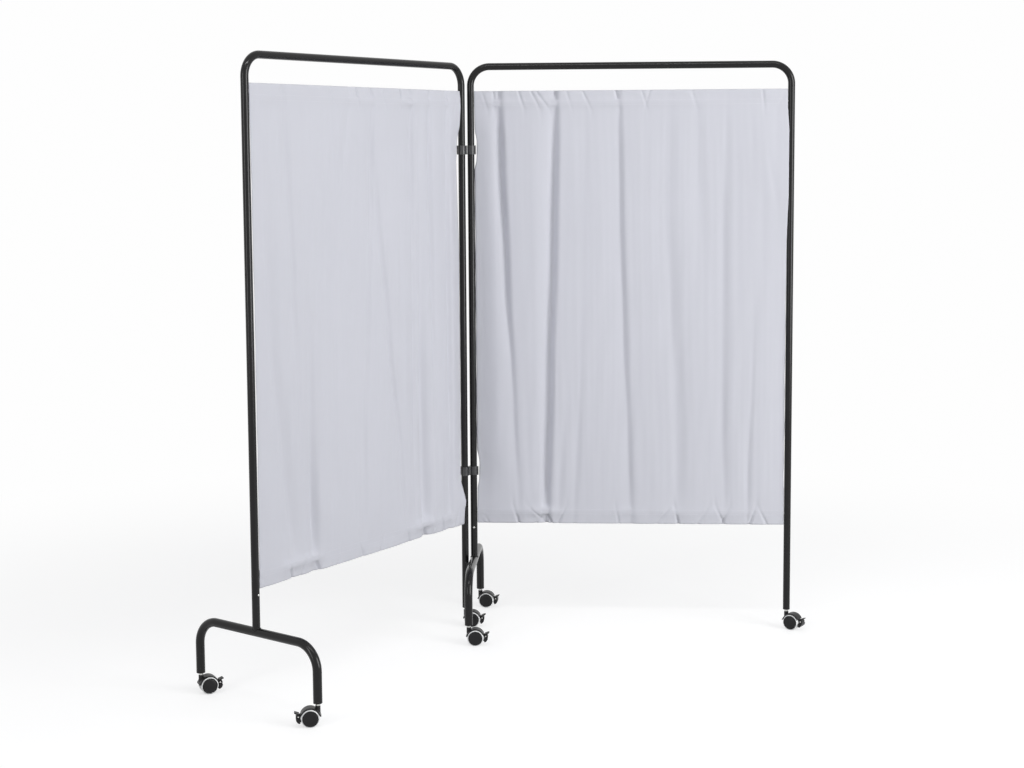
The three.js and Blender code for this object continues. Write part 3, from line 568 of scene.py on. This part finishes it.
def let_hang(mesh, rows, run):
    """Lets the cloth settle under its own weight, held at its pockets, frills and side hems."""
    columns = CLOTH_COLUMNS + 1
    sheet = new_object("settling", mesh)
    held = sheet.vertex_groups.new(name="held")
    down, layer = rows[:, 0], rows[:, 1]
    free = (layer == -1) & (down > 47 * MM) & (down < CLOTH_LENGTH - 47 * MM)
    for i in range(len(rows)):
        held.add(list(range(i * columns, (i + 1) * columns)), 0.55 if free[i] else 1.0, "REPLACE")
    sides = (0, 1, columns - 2, columns - 1)
    held.add([i * columns + j for i in range(len(rows)) for j in sides], 1.0, "REPLACE")
    sheet.shape_key_add(name="hung")
    flat = sheet.shape_key_add(name="flat")
    hung = corners_of(mesh).reshape(len(rows), columns, 3)
    wide = np.linalg.norm(np.diff(hung, axis=1), axis=2).sum(axis=1) * EASE
    across = np.outer(wide, np.linspace(-0.5, 0.5, columns)).ravel()
    laid = np.stack([across, 0 * across, -np.repeat(run, columns)], 1)
    flat.data.foreach_set("co", laid.astype(np.float32).ravel())
    flat.value = 0
    cloth = sheet.modifiers.new("cloth", "CLOTH")
    for name, value in {
            "quality": 5, "mass": 0.05, "pin_stiffness": 1, "air_damping": 4,
            "tension_stiffness": 10, "compression_stiffness": 10, "shear_stiffness": 6,
            "bending_stiffness": 0.1, "tension_damping": 12, "compression_damping": 12,
            "shear_damping": 12, "bending_damping": 0.5, "vertex_group_mass": "held",
            "rest_shape_key": flat}.items():
        setattr(cloth.settings, name, value)
    cloth.settings.effector_weights.gravity = 0.3
    cloth.collision_settings.use_collision = False
    cloth.collision_settings.use_self_collision = False
    cloth.point_cache.frame_start, cloth.point_cache.frame_end = 1, SETTLING_FRAMES
    for now in range(1, SETTLING_FRAMES + 1):
        bpy.context.scene.frame_set(now)
    settled = as_seen(sheet)
    bpy.context.scene.frame_set(1)
    shape = corners_of(settled).reshape(len(rows), columns, 3)
    for _ in range(2):
        beside = (shape[1:-1, 2:] + shape[1:-1, :-2] + shape[2:, 1:-1] + shape[:-2, 1:-1]) / 4
        shape[1:-1, 1:-1] += np.where(free[1:-1, None, None], 0.5 * (beside - shape[1:-1, 1:-1]), 0)
    settled.vertices.foreach_set("co", shape.astype(np.float32).ravel())
    return settled


def cloth_finish():
    """Plain weave: over-and-under threads in the flat cloth, slubs, and slow uneven dyeing."""
    material, tree, shader = new_finish("curtain_cloth")
    flat = shader_node(tree, "UVMap", uv_map="flat_cloth").outputs["UV"]
    threads = [
        shader_node(tree, "TexWave", {"Vector": flat, "Scale": 520, "Distortion": 0.5, "Detail": 1},
                    bands_direction=way).outputs["Fac"]
        for way in ("X", "Y")]
    weave = shader_node(tree, "Math", dict(enumerate(threads)), operation="MULTIPLY").outputs["Value"]
    stretch = shader_node(tree, "Mapping", {"Vector": flat, "Scale": (6, 0.5, 1)}).outputs["Vector"]
    slub = shader_node(tree, "TexNoise", {"Vector": stretch, "Scale": 60, "Detail": 6}).outputs["Fac"]
    patches = shader_node(tree, "TexNoise", {"Vector": flat, "Scale": 3.5, "Detail": 2}).outputs["Fac"]
    shade = shader_node(tree, "Math", {0: patches, 1: 0.65}, operation="MULTIPLY").outputs["Value"]
    blend = shader_node(tree, "Math", {0: slub, 1: 0.35, 2: shade}, operation="MULTIPLY_ADD")
    dye = shader_node(tree, "Mix", {"A": (0.612, 0.618, 0.672, 1), "B": (0.66, 0.666, 0.722, 1),
                                    "Factor": blend.outputs["Value"]}, data_type="RGBA")
    height = shader_node(tree, "Math", {0: slub, 1: 0.5, 2: weave}, operation="MULTIPLY_ADD")
    bump = shader_node(tree, "Bump", {"Height": height.outputs["Value"], "Strength": 0.5,
                                      "Distance": 0.08 * MM})
    feed(tree, shader, {
        "Base Color": dye.outputs["Result"], "Normal": bump.outputs["Normal"], "Roughness": 0.85,
        "Sheen Weight": 0.25, "Sheen Roughness": 0.5})
    through = shader_node(tree, "BsdfTranslucent", {"Color": (0.66, 0.663, 0.71, 1)})
    mix = shader_node(tree, "MixShader", {"Fac": 0.12, 1: shader.outputs["BSDF"],
                                          2: through.outputs["BSDF"]})
    feed(tree, tree.nodes["Material Output"], {"Surface": mix.outputs["Shader"]})
    return material


curtain_cloth = cloth_finish()
curtains = {}
for side, folds, pinches, near_edge, far_edge, creased, seed in (
        ("left", left_folds, (left_header, left_hem), left_near_edge, left_far_edge, 1.9, 1.7),
        ("right", right_folds, (right_header, right_hem), right_near_edge, right_far_edge, 1.0, 0.4)):
    panel = panels[side]
    grid, rows = hung_cloth(folds, pinches, near_edge, far_edge, panel["span"], creased, seed)
    step = np.hypot(np.diff(rows[:, 0]), np.diff(rows[:, 1]) * MM)
    run = np.concatenate([[0], np.cumsum(step)])
    mesh = cloth_mesh(f"{side}_cloth", panel["panel"].put(grid), rows, run)
    mesh = let_hang(mesh, rows, run)
    curtains[side] = {"points": corners_of(mesh).reshape(grid.shape), "rows": rows}
    mesh = after_modifiers(mesh, [("SOLIDIFY", {"thickness": 2 * CLOTH_HALF, "offset": 0.0})])
    curtain = place_piece(f"{side}_cloth", mesh, curtain_cloth, panel["body"],
                          [f"{side}_curtain"], sharp_angle=None)
    curtains[side]["piece"] = curtain

# ---- Stitching
# Two rows of straight stitch hold each turned edge down, one on each side of the rod. The thread
# is a little lighter than the cloth and shows on the front and on the back.
THREAD_STAND = 0.1 * MM
thread = surface_finish("sewing_thread", (0.70, 0.705, 0.76), (0.76, 0.765, 0.81), 0.7, patch=300,
                        grain=6000, grain_depth=0.05 * MM)


def stitch_nodes():
    """Sets a thread loop at every pitch along a sewn line."""
    tree = bpy.data.node_groups.new("stitch_line", "GeometryNodeTree")
    tree.interface.new_socket("Geometry", in_out="INPUT", socket_type="NodeSocketGeometry")
    for name, value in (("Pitch", 4 * MM), ("Stitch length", 3 * MM), ("Thread radius", 0.28 * MM)):
        socket = tree.interface.new_socket(name, in_out="INPUT", socket_type="NodeSocketFloat")
        socket.default_value = value
    seed = tree.interface.new_socket("Seed", in_out="INPUT", socket_type="NodeSocketInt")
    seed.default_value = 4
    tree.interface.new_socket("Geometry", in_out="OUTPUT", socket_type="NodeSocketGeometry")
    given = new_node(tree, "NodeGroupInput").outputs
    curve = new_node(tree, "GeometryNodeMeshToCurve", {"Mesh": given["Geometry"]})
    spots = new_node(tree, "GeometryNodeCurveToPoints",
                     {"Curve": curve.outputs["Curve"], "Length": given["Pitch"]}, mode="LENGTH")
    loop = new_node(tree, "GeometryNodeMeshUVSphere", {"Segments": 6, "Rings": 4, "Radius": 1.0})
    uneven = new_node(tree, "FunctionNodeRandomValue", {2: 0.42, 3: 0.54, "Seed": given["Seed"]})
    length = shader_node(tree, "Math", {0: uneven.outputs[1], 1: given["Stitch length"]},
                         operation="MULTIPLY")
    size = shader_node(tree, "CombineXYZ", {
        "X": given["Thread radius"], "Y": given["Thread radius"], "Z": length.outputs["Value"]})
    stand = new_node(tree, "GeometryNodeInstanceOnPoints", {
        "Points": spots.outputs["Points"], "Instance": loop.outputs["Mesh"],
        "Rotation": spots.outputs["Rotation"], "Scale": size.outputs["Vector"]})
    solid = new_node(tree, "GeometryNodeRealizeInstances", {"Geometry": stand.outputs["Instances"]})
    paint = new_node(tree, "GeometryNodeSetMaterial", {
        "Geometry": solid.outputs["Geometry"], "Material": thread})
    new_node(tree, "NodeGroupOutput", {"Geometry": paint.outputs["Geometry"]})
    return tree, {item.name: item.identifier for item in tree.interface.items_tree
                  if item.in_out == "INPUT"}


def sewn_line(curtain, face, from_top):
    """A line across one layer of the cloth at a distance from its top edge."""
    points, rows = curtain["points"], curtain["rows"]
    layer = np.where(rows[:, 1] == face)[0]
    layer = layer[np.argsort(rows[layer, 0])]
    after = np.searchsorted(rows[layer, 0], from_top)
    a, b = layer[after - 1], layer[after]
    share = (from_top - rows[a, 0]) / (rows[b, 0] - rows[a, 0])
    line = points[a] * (1 - share) + points[b] * share
    outward = np.cross(np.gradient(line, axis=0), points[b] - points[a])
    outward /= np.linalg.norm(outward, axis=1)[:, None]
    return line[1:-1] + outward[1:-1] * (CLOTH_HALF + THREAD_STAND) * face


stitch_tree, stitch_inputs = stitch_nodes()
for side, curtain in curtains.items():
    line_points, line_edges = [], []
    for from_edge in STITCH_LINES:
        for from_top in (from_edge, CLOTH_LENGTH - from_edge):
            for face in (-1, 1):
                line = sewn_line(curtain, face, from_top)
                first = sum(map(len, line_points))
                line_edges += [(first + i, first + i + 1) for i in range(len(line) - 1)]
                line_points.append(line)
    seams = bpy.data.meshes.new(f"{side}_seam_lines")
    seams.from_pydata([tuple(p) for p in np.concatenate(line_points)], line_edges, [])
    sewing = new_object("sewing", seams)
    machine = sewing.modifiers.new("stitches", "NODES")
    machine.node_group = stitch_tree
    for name, value in {"Pitch": 4 * MM, "Stitch length": 3.2 * MM, "Thread radius": 0.3 * MM,
                        "Seed": 11}.items():
        machine[stitch_inputs[name]] = value
    sewn = place_piece(f"{side}_stitches", as_seen(sewing), thread, panels[side]["body"],
                       sharp_angle=None)

# ---- Hinge clips
# Two black plastic clips join the panels. Each has two springy C-shaped jaws, back to back,
# that are pushed on to the neighbouring posts, so either panel can turn in them.
CLIP_HALF = 14
CLIP_WALL = 2.8
JAW_BORE = 11.35
JAW_MOUTH = 52
LIP_BEADS = ((JAW_BORE + 1.9, 1.9), (JAW_BORE + 4.2, 1.7))
black_plastic = surface_finish("moulded_nylon", (0.0075, 0.0075, 0.008), (0.0115, 0.0115, 0.0125),
                               0.36, patch=30, grain=2200, grain_depth=0.02 * MM, specular=0.24)
clip_plastic = surface_finish("clip_nylon", (0.022, 0.022, 0.0235), (0.034, 0.034, 0.036), 0.32,
                              patch=40, grain=1600, grain_depth=0.03 * MM)


def moulded(parts, voxel, rounds, keep):
    """One moulding from overlapping shapes in millimetres, with its corners softened."""
    points, faces = joined(parts)
    return shell_of(after_modifiers(mesh_of("mould", points * MM, faces), [
        ("REMESH", {"mode": "VOXEL", "voxel_size": voxel * MM}),
        ("SMOOTH", {"factor": 0.5, "iterations": rounds}),
        ("DECIMATE", {"ratio": keep})]))


def slab(outline, low, high):
    """A side outline of (forward, up) points with its two faces at y = low and y = high."""
    outline = np.array(outline, float)
    return loft([np.stack([outline[:, 0], 0 * outline[:, 0] + y, outline[:, 1]], 1)
                 for y in (low, high)], caps=True)


def bar(centre, radius, low, high, sides=20):
    turn = np.arange(sides) * 2 * math.pi / sides
    circle = np.stack([centre[0] + radius * np.cos(turn), centre[1] + radius * np.sin(turn)], 1)
    return slab(circle, low, high)


hinge_right, hinge_left = joint_at["clip_turn"], joint_at["panel_fold"]
half_pitch = float(np.linalg.norm((hinge_right - hinge_left)[:2])) / 2 / MM
clip_place = Place((hinge_right + hinge_left) / 2, hinge_right - hinge_left)
clip_parts = []
for way in (-1, 1):
    turn = np.radians(np.linspace(JAW_MOUTH, 360 - JAW_MOUTH, 41))
    rings = []
    for a in turn:
        corners = [(JAW_BORE, -CLIP_HALF), (JAW_BORE + CLIP_WALL, -CLIP_HALF),
                   (JAW_BORE + CLIP_WALL, CLIP_HALF), (JAW_BORE, CLIP_HALF)]
        rings.append([(way * (half_pitch + r * math.cos(a)), r * math.sin(a), h) for r, h in corners])
    clip_parts.append(loft(rings, caps=True))
    for a in (turn[0], turn[-1]):
        for out, thick in LIP_BEADS:
            lip = turned_rings([(thick, -CLIP_HALF), (thick, CLIP_HALF)], 20)
            stood = lip + [way * (half_pitch + out * math.cos(a)), out * math.sin(a), 0]
            clip_parts.append(loft(stood, caps=True))
bridge = [(-4.2, -5.5), (4.2, -5.5), (4.2, 5.5), (-4.2, 5.5)]
clip_parts.append(loft([[(x, y, h) for x, y in bridge] for h in (-CLIP_HALF, CLIP_HALF)], caps=True))
clip_points, clip_faces = moulded(clip_parts, 0.4, 4, 0.22)
for place in ("upper", "lower"):
    low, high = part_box(f"{place}_hinge_clip")
    level = (low[2] + high[2]) / 2
    mesh = mesh_of(f"{place}_clip", clip_place.put(clip_points + [0, 0, level]), clip_faces)
    place_piece(f"{place}_clip", mesh, clip_plastic, "hinge_clips",
                [f"{place}_hinge_clip"], sharp_angle=None)

# ---- Casters
# Each leg ends in a plastic plug that holds a plated stem. A black hood turns on the stem and
# carries two wheels, each a black disc with a pale tyre, and a brake lever on a steel pin.
TRAIL = 21
WHEEL = 25
HOOD_CROWN = 28.5
HOOD_LIP = 30.3
HOOD_WALL = 2.2
HOOD_HALF = 18
HOOD_SWEEP = (24, 171)
LIP_SWEEP = 31
BODY_HALF = 5.8
PIN_SIDES = 20
WHEEL_SIDES = 56
joint_axis = {joint["name"]: np.array(joint["axis"], float) for joint in frame["joints"]}
axle = np.array([TRAIL, WHEEL])


def ray(degrees):
    return np.array([math.cos(math.radians(degrees)), math.sin(math.radians(degrees))])


def about_axle(radius, degrees):
    return axle + radius * ray(degrees)


def hood_radius(degrees):
    t = min(max((degrees - (HOOD_SWEEP[1] - LIP_SWEEP)) / LIP_SWEEP, 0), 1)
    return HOOD_CROWN + (HOOD_LIP - HOOD_CROWN) * t * t


pivot = about_axle(31.9, 7.2)


# Hood: a crowned shell over both wheels
y = np.linspace(-HOOD_HALF, HOOD_HALF, 25)
sink = 1.3 * np.abs(y / HOOD_HALF) ** 5
hood_rings = []
for degrees in np.linspace(*HOOD_SWEEP, 50):
    outer, inner = hood_radius(degrees) - sink, hood_radius(degrees) - sink - HOOD_WALL
    ring = [about_axle(r, degrees) for r in (*outer, *inner[::-1])]
    hood_rings.append([(x, w, z) for (x, z), w in zip(ring, (*y, *y[::-1]))])
hood_web = [about_axle(hood_radius(d) - 1.2, d) for d in np.linspace(*HOOD_SWEEP, 30)]
hood_web += [about_axle(7, d) for d in np.linspace(216, 333, 10)]
ear = [about_axle(25.7, 4.5)]
ear += [pivot + 3.2 * np.array([math.cos(a), math.sin(a)])
        for a in np.linspace(-math.pi / 2, math.pi / 2, 12)]
ear += [about_axle(HOOD_CROWN - 1.1, 28), axle]
boss = [(7, WHEEL), *[(7, z) for z in np.arange(27, 54, 2)], (7, 55.2), (6.4, 56), (4.3, 56), (4.3, 50)]
boss_rings = turned_rings(boss, 40)
reach = 26.3 ** 2 - (boss_rings[:, :, 2] - WHEEL) ** 2
limit = np.where(reach > 0, TRAIL - np.sqrt(np.maximum(reach, 0)), 100)
boss_rings[:, :, 0] = np.minimum(boss_rings[:, :, 0], limit)
housing = moulded([
    loft(hood_rings, caps=True), slab(hood_web, -BODY_HALF, BODY_HALF), slab(ear, -BODY_HALF, BODY_HALF),
    loft(boss_rings, caps=True), bar(axle, 5.4, -6, 6)], 0.42, 5, 0.2)

# Brake lever: two cheeks on the pin, a leaf behind the tyres and a ribbed tab for the toe
leaf_rings = []
for share in np.linspace(0, 1, 22):
    degrees = -26 + 25 * share
    outer = 31.8 + 6.6 * math.sin(share * math.pi / 2) ** 0.85
    half = 12.4 + 2.6 * math.sqrt(min(1, share * 3))
    inner = 29.3 - 2.9 * share
    ring = [(inner, -half), (outer, -half + 0.6), (outer, half - 0.6), (inner, half)]
    leaf_rings.append([(about_axle(r, degrees)[0], w, about_axle(r, degrees)[1]) for r, w in ring])
tab_way = ray(18)
tab_up = np.array([-tab_way[1], tab_way[0]])
tab_root = pivot + [-2, 6]


def on_tab(run, rise):
    return tab_root + tab_way * run + tab_up * rise


tab_rings = []
for run, half, thick in ((0, 9.4, 2.2), (4, 9.4, 2.2), (9, 10.2, 2.1), (12.4, 10.4, 2.0),
                         (13.6, 9.6, 1.8), (14, 8.6, 1.5)):
    low, high = on_tab(run, 0), on_tab(run, thick)
    tab_rings.append([(low[0], -half, low[1]), (high[0], -half, high[1]),
                      (high[0], half, high[1]), (low[0], half, low[1])])
lever_parts = [loft(leaf_rings, caps=True), loft(tab_rings, caps=True)]
lever_parts += [bar(on_tab(run, 2.05), 0.65, -8.6, 8.6, 12) for run in (5, 7, 9, 11, 13)]
cheek = [about_axle(31, -4), about_axle(38.1, -4), pivot + [7.2, 1.5], on_tab(6, 1.3), on_tab(1.3, 1.3),
         pivot + [-3.6, 1.5]]
lever_parts += [slab(cheek, low, low + 3.3) for low in (6.1, -9.4)]
leaf_web = [about_axle(25.6, d) for d in np.linspace(-25, -3, 8)]
leaf_web += [about_axle(31.5, d) for d in np.linspace(-3, -25, 8)]
lever_parts.append(slab(leaf_web, -4.8, 4.8))
bridge = [about_axle(36.2, -4), about_axle(38.3, -4), pivot + [7.2, 1.5], on_tab(6.2, 1), on_tab(4, 0.4),
          pivot + [4, 1.5]]
lever_parts.append(slab(bridge, -9.4, 9.4))
lever = moulded(lever_parts, 0.32, 3, 0.2)


def revolved(profile, sides):
    return loft(turned_rings(profile, sides), caps=True)


def on_axle(shell, way):
    """From a wheel drawn round Z to its place on the axle, on the left (1) or right (-1)."""
    points, faces = shell
    return np.stack([TRAIL + points[:, 0], way * points[:, 2], WHEEL + points[:, 1]], 1), faces


def pin(profile, centre):
    """A pin drawn round Z, laid across the caster."""
    points, faces = revolved(profile, PIN_SIDES)
    return np.stack([points[:, 0] + centre[0], points[:, 2], points[:, 1] + centre[1]], 1), faces


stem_profile = [(0.01, 30), (3.2, 30), (4, 30.8), (4, 56.3), (6, 56.3), (6.5, 56.8), (6.5, 58.4),
                (6.1, 58.8), (6.1, 59.2), (6.5, 59.6), (6.5, 61.2), (6, 61.7), (4, 61.7), (4, 93.6),
                (3.2, 94.4), (0.01, 94.4)]
hub_profile = [(0.01, 18.3), (3.3, 18.3), (3.3, 6.1), (18.9, 6.1), (19.9, 6.9), (19.9, 18.1),
               (21.5, 18.1), (21.9, 18.3), (21.9, 18.8), (21.5, 19.15), (20.7, 19.45), (19.4, 19.6),
               (18.8, 19.45), (18.5, 19.3), (18.2, 19.5), (17.2, 19.8), (12, 20.4), (6, 20.8),
               (0.01, 20.95)]
tyre_profile = [(20.2, 6.4), (24.2, 6.4), (24.8, 6.8), (25, 7.4), (25, 15), (24.85, 16), (24.35, 16.9),
                (23.6, 17.5), (22.7, 17.8), (20.9, 17.8), (20.2, 17.5)]
pin_profile = [(0.01, -10.1), (1.4, -10), (2, -9.7), (2, -9.45), (1.5, -9.45), (1.5, 9.45), (2, 9.45),
               (2, 9.7), (1.4, 10), (0.01, 10.1)]
axle_profile = [(0.01, -17.9), (3, -17.9), (3, 17.9), (0.01, 17.9)]
hub = revolved(hub_profile, WHEEL_SIDES)
tyre = loft(turned_rings(tyre_profile, WHEEL_SIDES), loop=True)
pins = joined([pin(pin_profile, pivot), pin(axle_profile, axle)])
tread = surface_finish("pale_tread", (0.84, 0.85, 0.85), (0.89, 0.90, 0.90), 0.62, patch=45, grain=1800,
                       grain_depth=0.06 * MM)


def fit(caster, part, shell, finish, body, node=None, size=MM, sharp=38):
    """Puts one part of a caster in its place under its leg."""
    points, faces = shell
    mesh = mesh_of(f"{caster}_{part}", caster_places[caster].put(np.asarray(points) * size), faces)
    place_piece(f"{caster}_{part}_visual", mesh, finish, body,
                [f"{caster}_{node}"] if node else [], sharp_angle=sharp)


caster_places = {}
for name in ("left_front", "left_rear", "left_hinge", "right_front", "right_rear", "right_end"):
    leg, turning, braking = f"{name.split('_')[0]}_panel", f"{name}_caster", f"{name}_brake"
    caster_places[name] = Place(joint_at[f"{name}_swivel"], np.cross(joint_axis[f"{name}_left_roll"], UP))
    edge = (FRAME_RADIUS if name in ("left_hinge", "right_end") else FOOT_RADIUS) / MM
    sleeve = edge - FRAME_WALL / MM - 0.1
    socket_profile = [(4.2, 62), (edge - 1.4, 62), (edge - 0.5, 62.4), (edge, 63.2), (edge, 64.4),
                      (edge - 0.3, 64.8), (sleeve, 64.8), (sleeve, 103), (4.2, 103), (4.2, 62)]
    fit(name, "plug", revolved(socket_profile, 40), black_plastic, leg, "leg_socket")
    fit(name, "stem", revolved(stem_profile, 32), steel, leg, "caster_stem")
    fit(name, "housing", housing, black_plastic, turning, "caster_housing", 1, None)
    fit(name, "pins", pins, steel, turning, sharp=30)
    fit(name, "lever", lever, black_plastic, braking, "brake_lever", 1, None)
    for wheel, way in (("left", 1), ("right", -1)):
        for part, shell, finish, slot in (("hub", hub, black_plastic, "black_plastic"),
                                          ("tyre", tyre, tread, "tread")):
            fit(name, f"{wheel}_{part}", on_axle(shell, way), finish, f"{name}_{wheel}_wheel",
                f"{wheel}_{part}", sharp=30)

# ---- Floor, light and camera
# The screen stands on a pale studio floor that runs out to white. Two tall soft lights and one
# overhead light it, and the camera stands where the photograph was taken from.


def seen_or_mirrored(tree):
    """1 for the rays that show a surface: straight to the camera, mirrored, or through glass."""
    path = shader_node(tree, "LightPath")
    shown = path.outputs["Is Camera Ray"]
    for kind in ("Is Glossy Ray", "Is Transmission Ray"):
        shown = shader_node(tree, "Math", {0: shown, 1: path.outputs[kind]},
                            operation="MAXIMUM").outputs["Value"]
    return shown


def floor_finish():
    """Grey under the lights with a glow that only shows it white, and plain white far away."""
    material, tree, shader = new_finish("studio_floor")
    where = shader_node(tree, "TexCoord").outputs["Object"]
    noise = shader_node(tree, "TexNoise", {"Vector": where, "Scale": 2.0})
    grey = shader_node(tree, "ValToRGB", {"Fac": noise.outputs["Fac"]})
    for element, shade in zip(grey.color_ramp.elements, (0.42, 0.44)):
        element.color = (shade, shade, shade, 1)
    feed(tree, shader, {"Base Color": grey.outputs["Color"], "Roughness": 0.8, "Specular IOR Level": 0.2})
    away = shader_node(tree, "VectorMath", {0: where}, operation="LENGTH").outputs["Value"]
    fade = shader_node(tree, "MapRange", {"Value": away, "From Min": 1.2, "From Max": 3.4},
                       interpolation_type="SMOOTHSTEP").outputs["Result"]
    shown = seen_or_mirrored(tree)
    whiten, lift = (shader_node(tree, "Math", {0: by, 1: shown}, operation="MULTIPLY").outputs["Value"]
                    for by in (fade, FLOOR_LIFT))
    glow = shader_node(tree, "Emission", {"Strength": lift}).outputs["Emission"]
    white = shader_node(tree, "Emission", {"Color": (1, 1, 1, 1), "Strength": BACKDROP})
    lit = shader_node(tree, "AddShader", {0: shader.outputs["BSDF"], 1: glow})
    mix = shader_node(tree, "MixShader", {"Fac": whiten, 1: lit.outputs["Shader"],
                                          2: white.outputs["Emission"]})
    feed(tree, tree.nodes["Material Output"], {"Surface": mix.outputs["Shader"]})
    return material


BACKDROP = 0.99
FLOOR_LIFT = 0.63
AMBIENT = 0.5
FLOOR_HALF = 60
floor_corners = [(x * FLOOR_HALF, y * FLOOR_HALF, 0) for x, y in ((-1, -1), (1, -1), (1, 1), (-1, 1))]
floor_mesh = bpy.data.meshes.new("floor")
floor_mesh.from_pydata(floor_corners, [], [(0, 1, 2, 3)])
floor_mesh.materials.append(floor_finish())
new_object("floor", floor_mesh)

world = bpy.data.worlds.new("studio")
bpy.context.scene.world = world
world.use_nodes = True
studio = world.node_tree
ambient = studio.nodes["Background"]
feed(studio, ambient, {"Color": (0.97, 0.98, 1.0, 1), "Strength": AMBIENT})
backdrop = shader_node(studio, "Background", {"Color": (1, 1, 1, 1), "Strength": BACKDROP})
choose = shader_node(studio, "MixShader", {
    "Fac": seen_or_mirrored(studio), 1: ambient.outputs["Background"], 2: backdrop.outputs["Background"]})
feed(studio, studio.nodes["World Output"], {"Surface": choose.outputs["Shader"]})


def soft_light(name, at, toward, width, height, power):
    lamp = bpy.data.lights.new(name, "AREA")
    lamp.shape, lamp.size, lamp.size_y, lamp.energy = "RECTANGLE", width, height, power
    stand = new_object(name, lamp)
    stand.location = at
    stand.rotation_euler = (Vector(toward) - Vector(at)).to_track_quat("-Z", "Y").to_euler()


soft_light("left_softbox", (-3.0, -3.8, 1.8), (0, 0, 0.9), 0.8, 2.6, 40)
soft_light("right_softbox", (4.0, -2.3, 1.7), (0, 0, 0.95), 2.4, 2.8, 145)
soft_light("top_strip", (0.3, -2.2, 4.0), (0.1, 0.2, 1.2), 3.0, 0.3, 32)

LENS_PIXELS = 1754.317
IMAGE_WIDTH = 1024
FRAME_WIDTH = 36.0
YAW, PITCH, ROLL = 0.06133, 0.10385, -0.0062
camera_data = bpy.data.cameras.new("camera")
camera_data.sensor_width = FRAME_WIDTH
camera_data.lens = LENS_PIXELS * FRAME_WIDTH / IMAGE_WIDTH
camera_data.shift_y = -(384 - 330.25) / IMAGE_WIDTH
camera = new_object("camera", camera_data)
camera.location = Vector(joint_at["clip_turn"] * [1, 1, 0]) + Vector((0.465934, -5.5347, 1.53717))
ahead = Vector((-math.sin(YAW) * math.cos(PITCH), math.cos(YAW) * math.cos(PITCH), -math.sin(PITCH)))
right = Vector((math.cos(YAW), math.sin(YAW), 0))
above = right.cross(ahead)
level_right = math.cos(ROLL) * right + math.sin(ROLL) * above
level_up = -math.sin(ROLL) * right + math.cos(ROLL) * above
turn = [[level_right[i], level_up[i], -ahead[i]] for i in range(3)]
camera.rotation_mode = "QUATERNION"
camera.rotation_quaternion = Matrix(turn).to_quaternion()
bpy.context.scene.camera = camera
bpy.context.scene.view_settings.view_transform = "Standard"
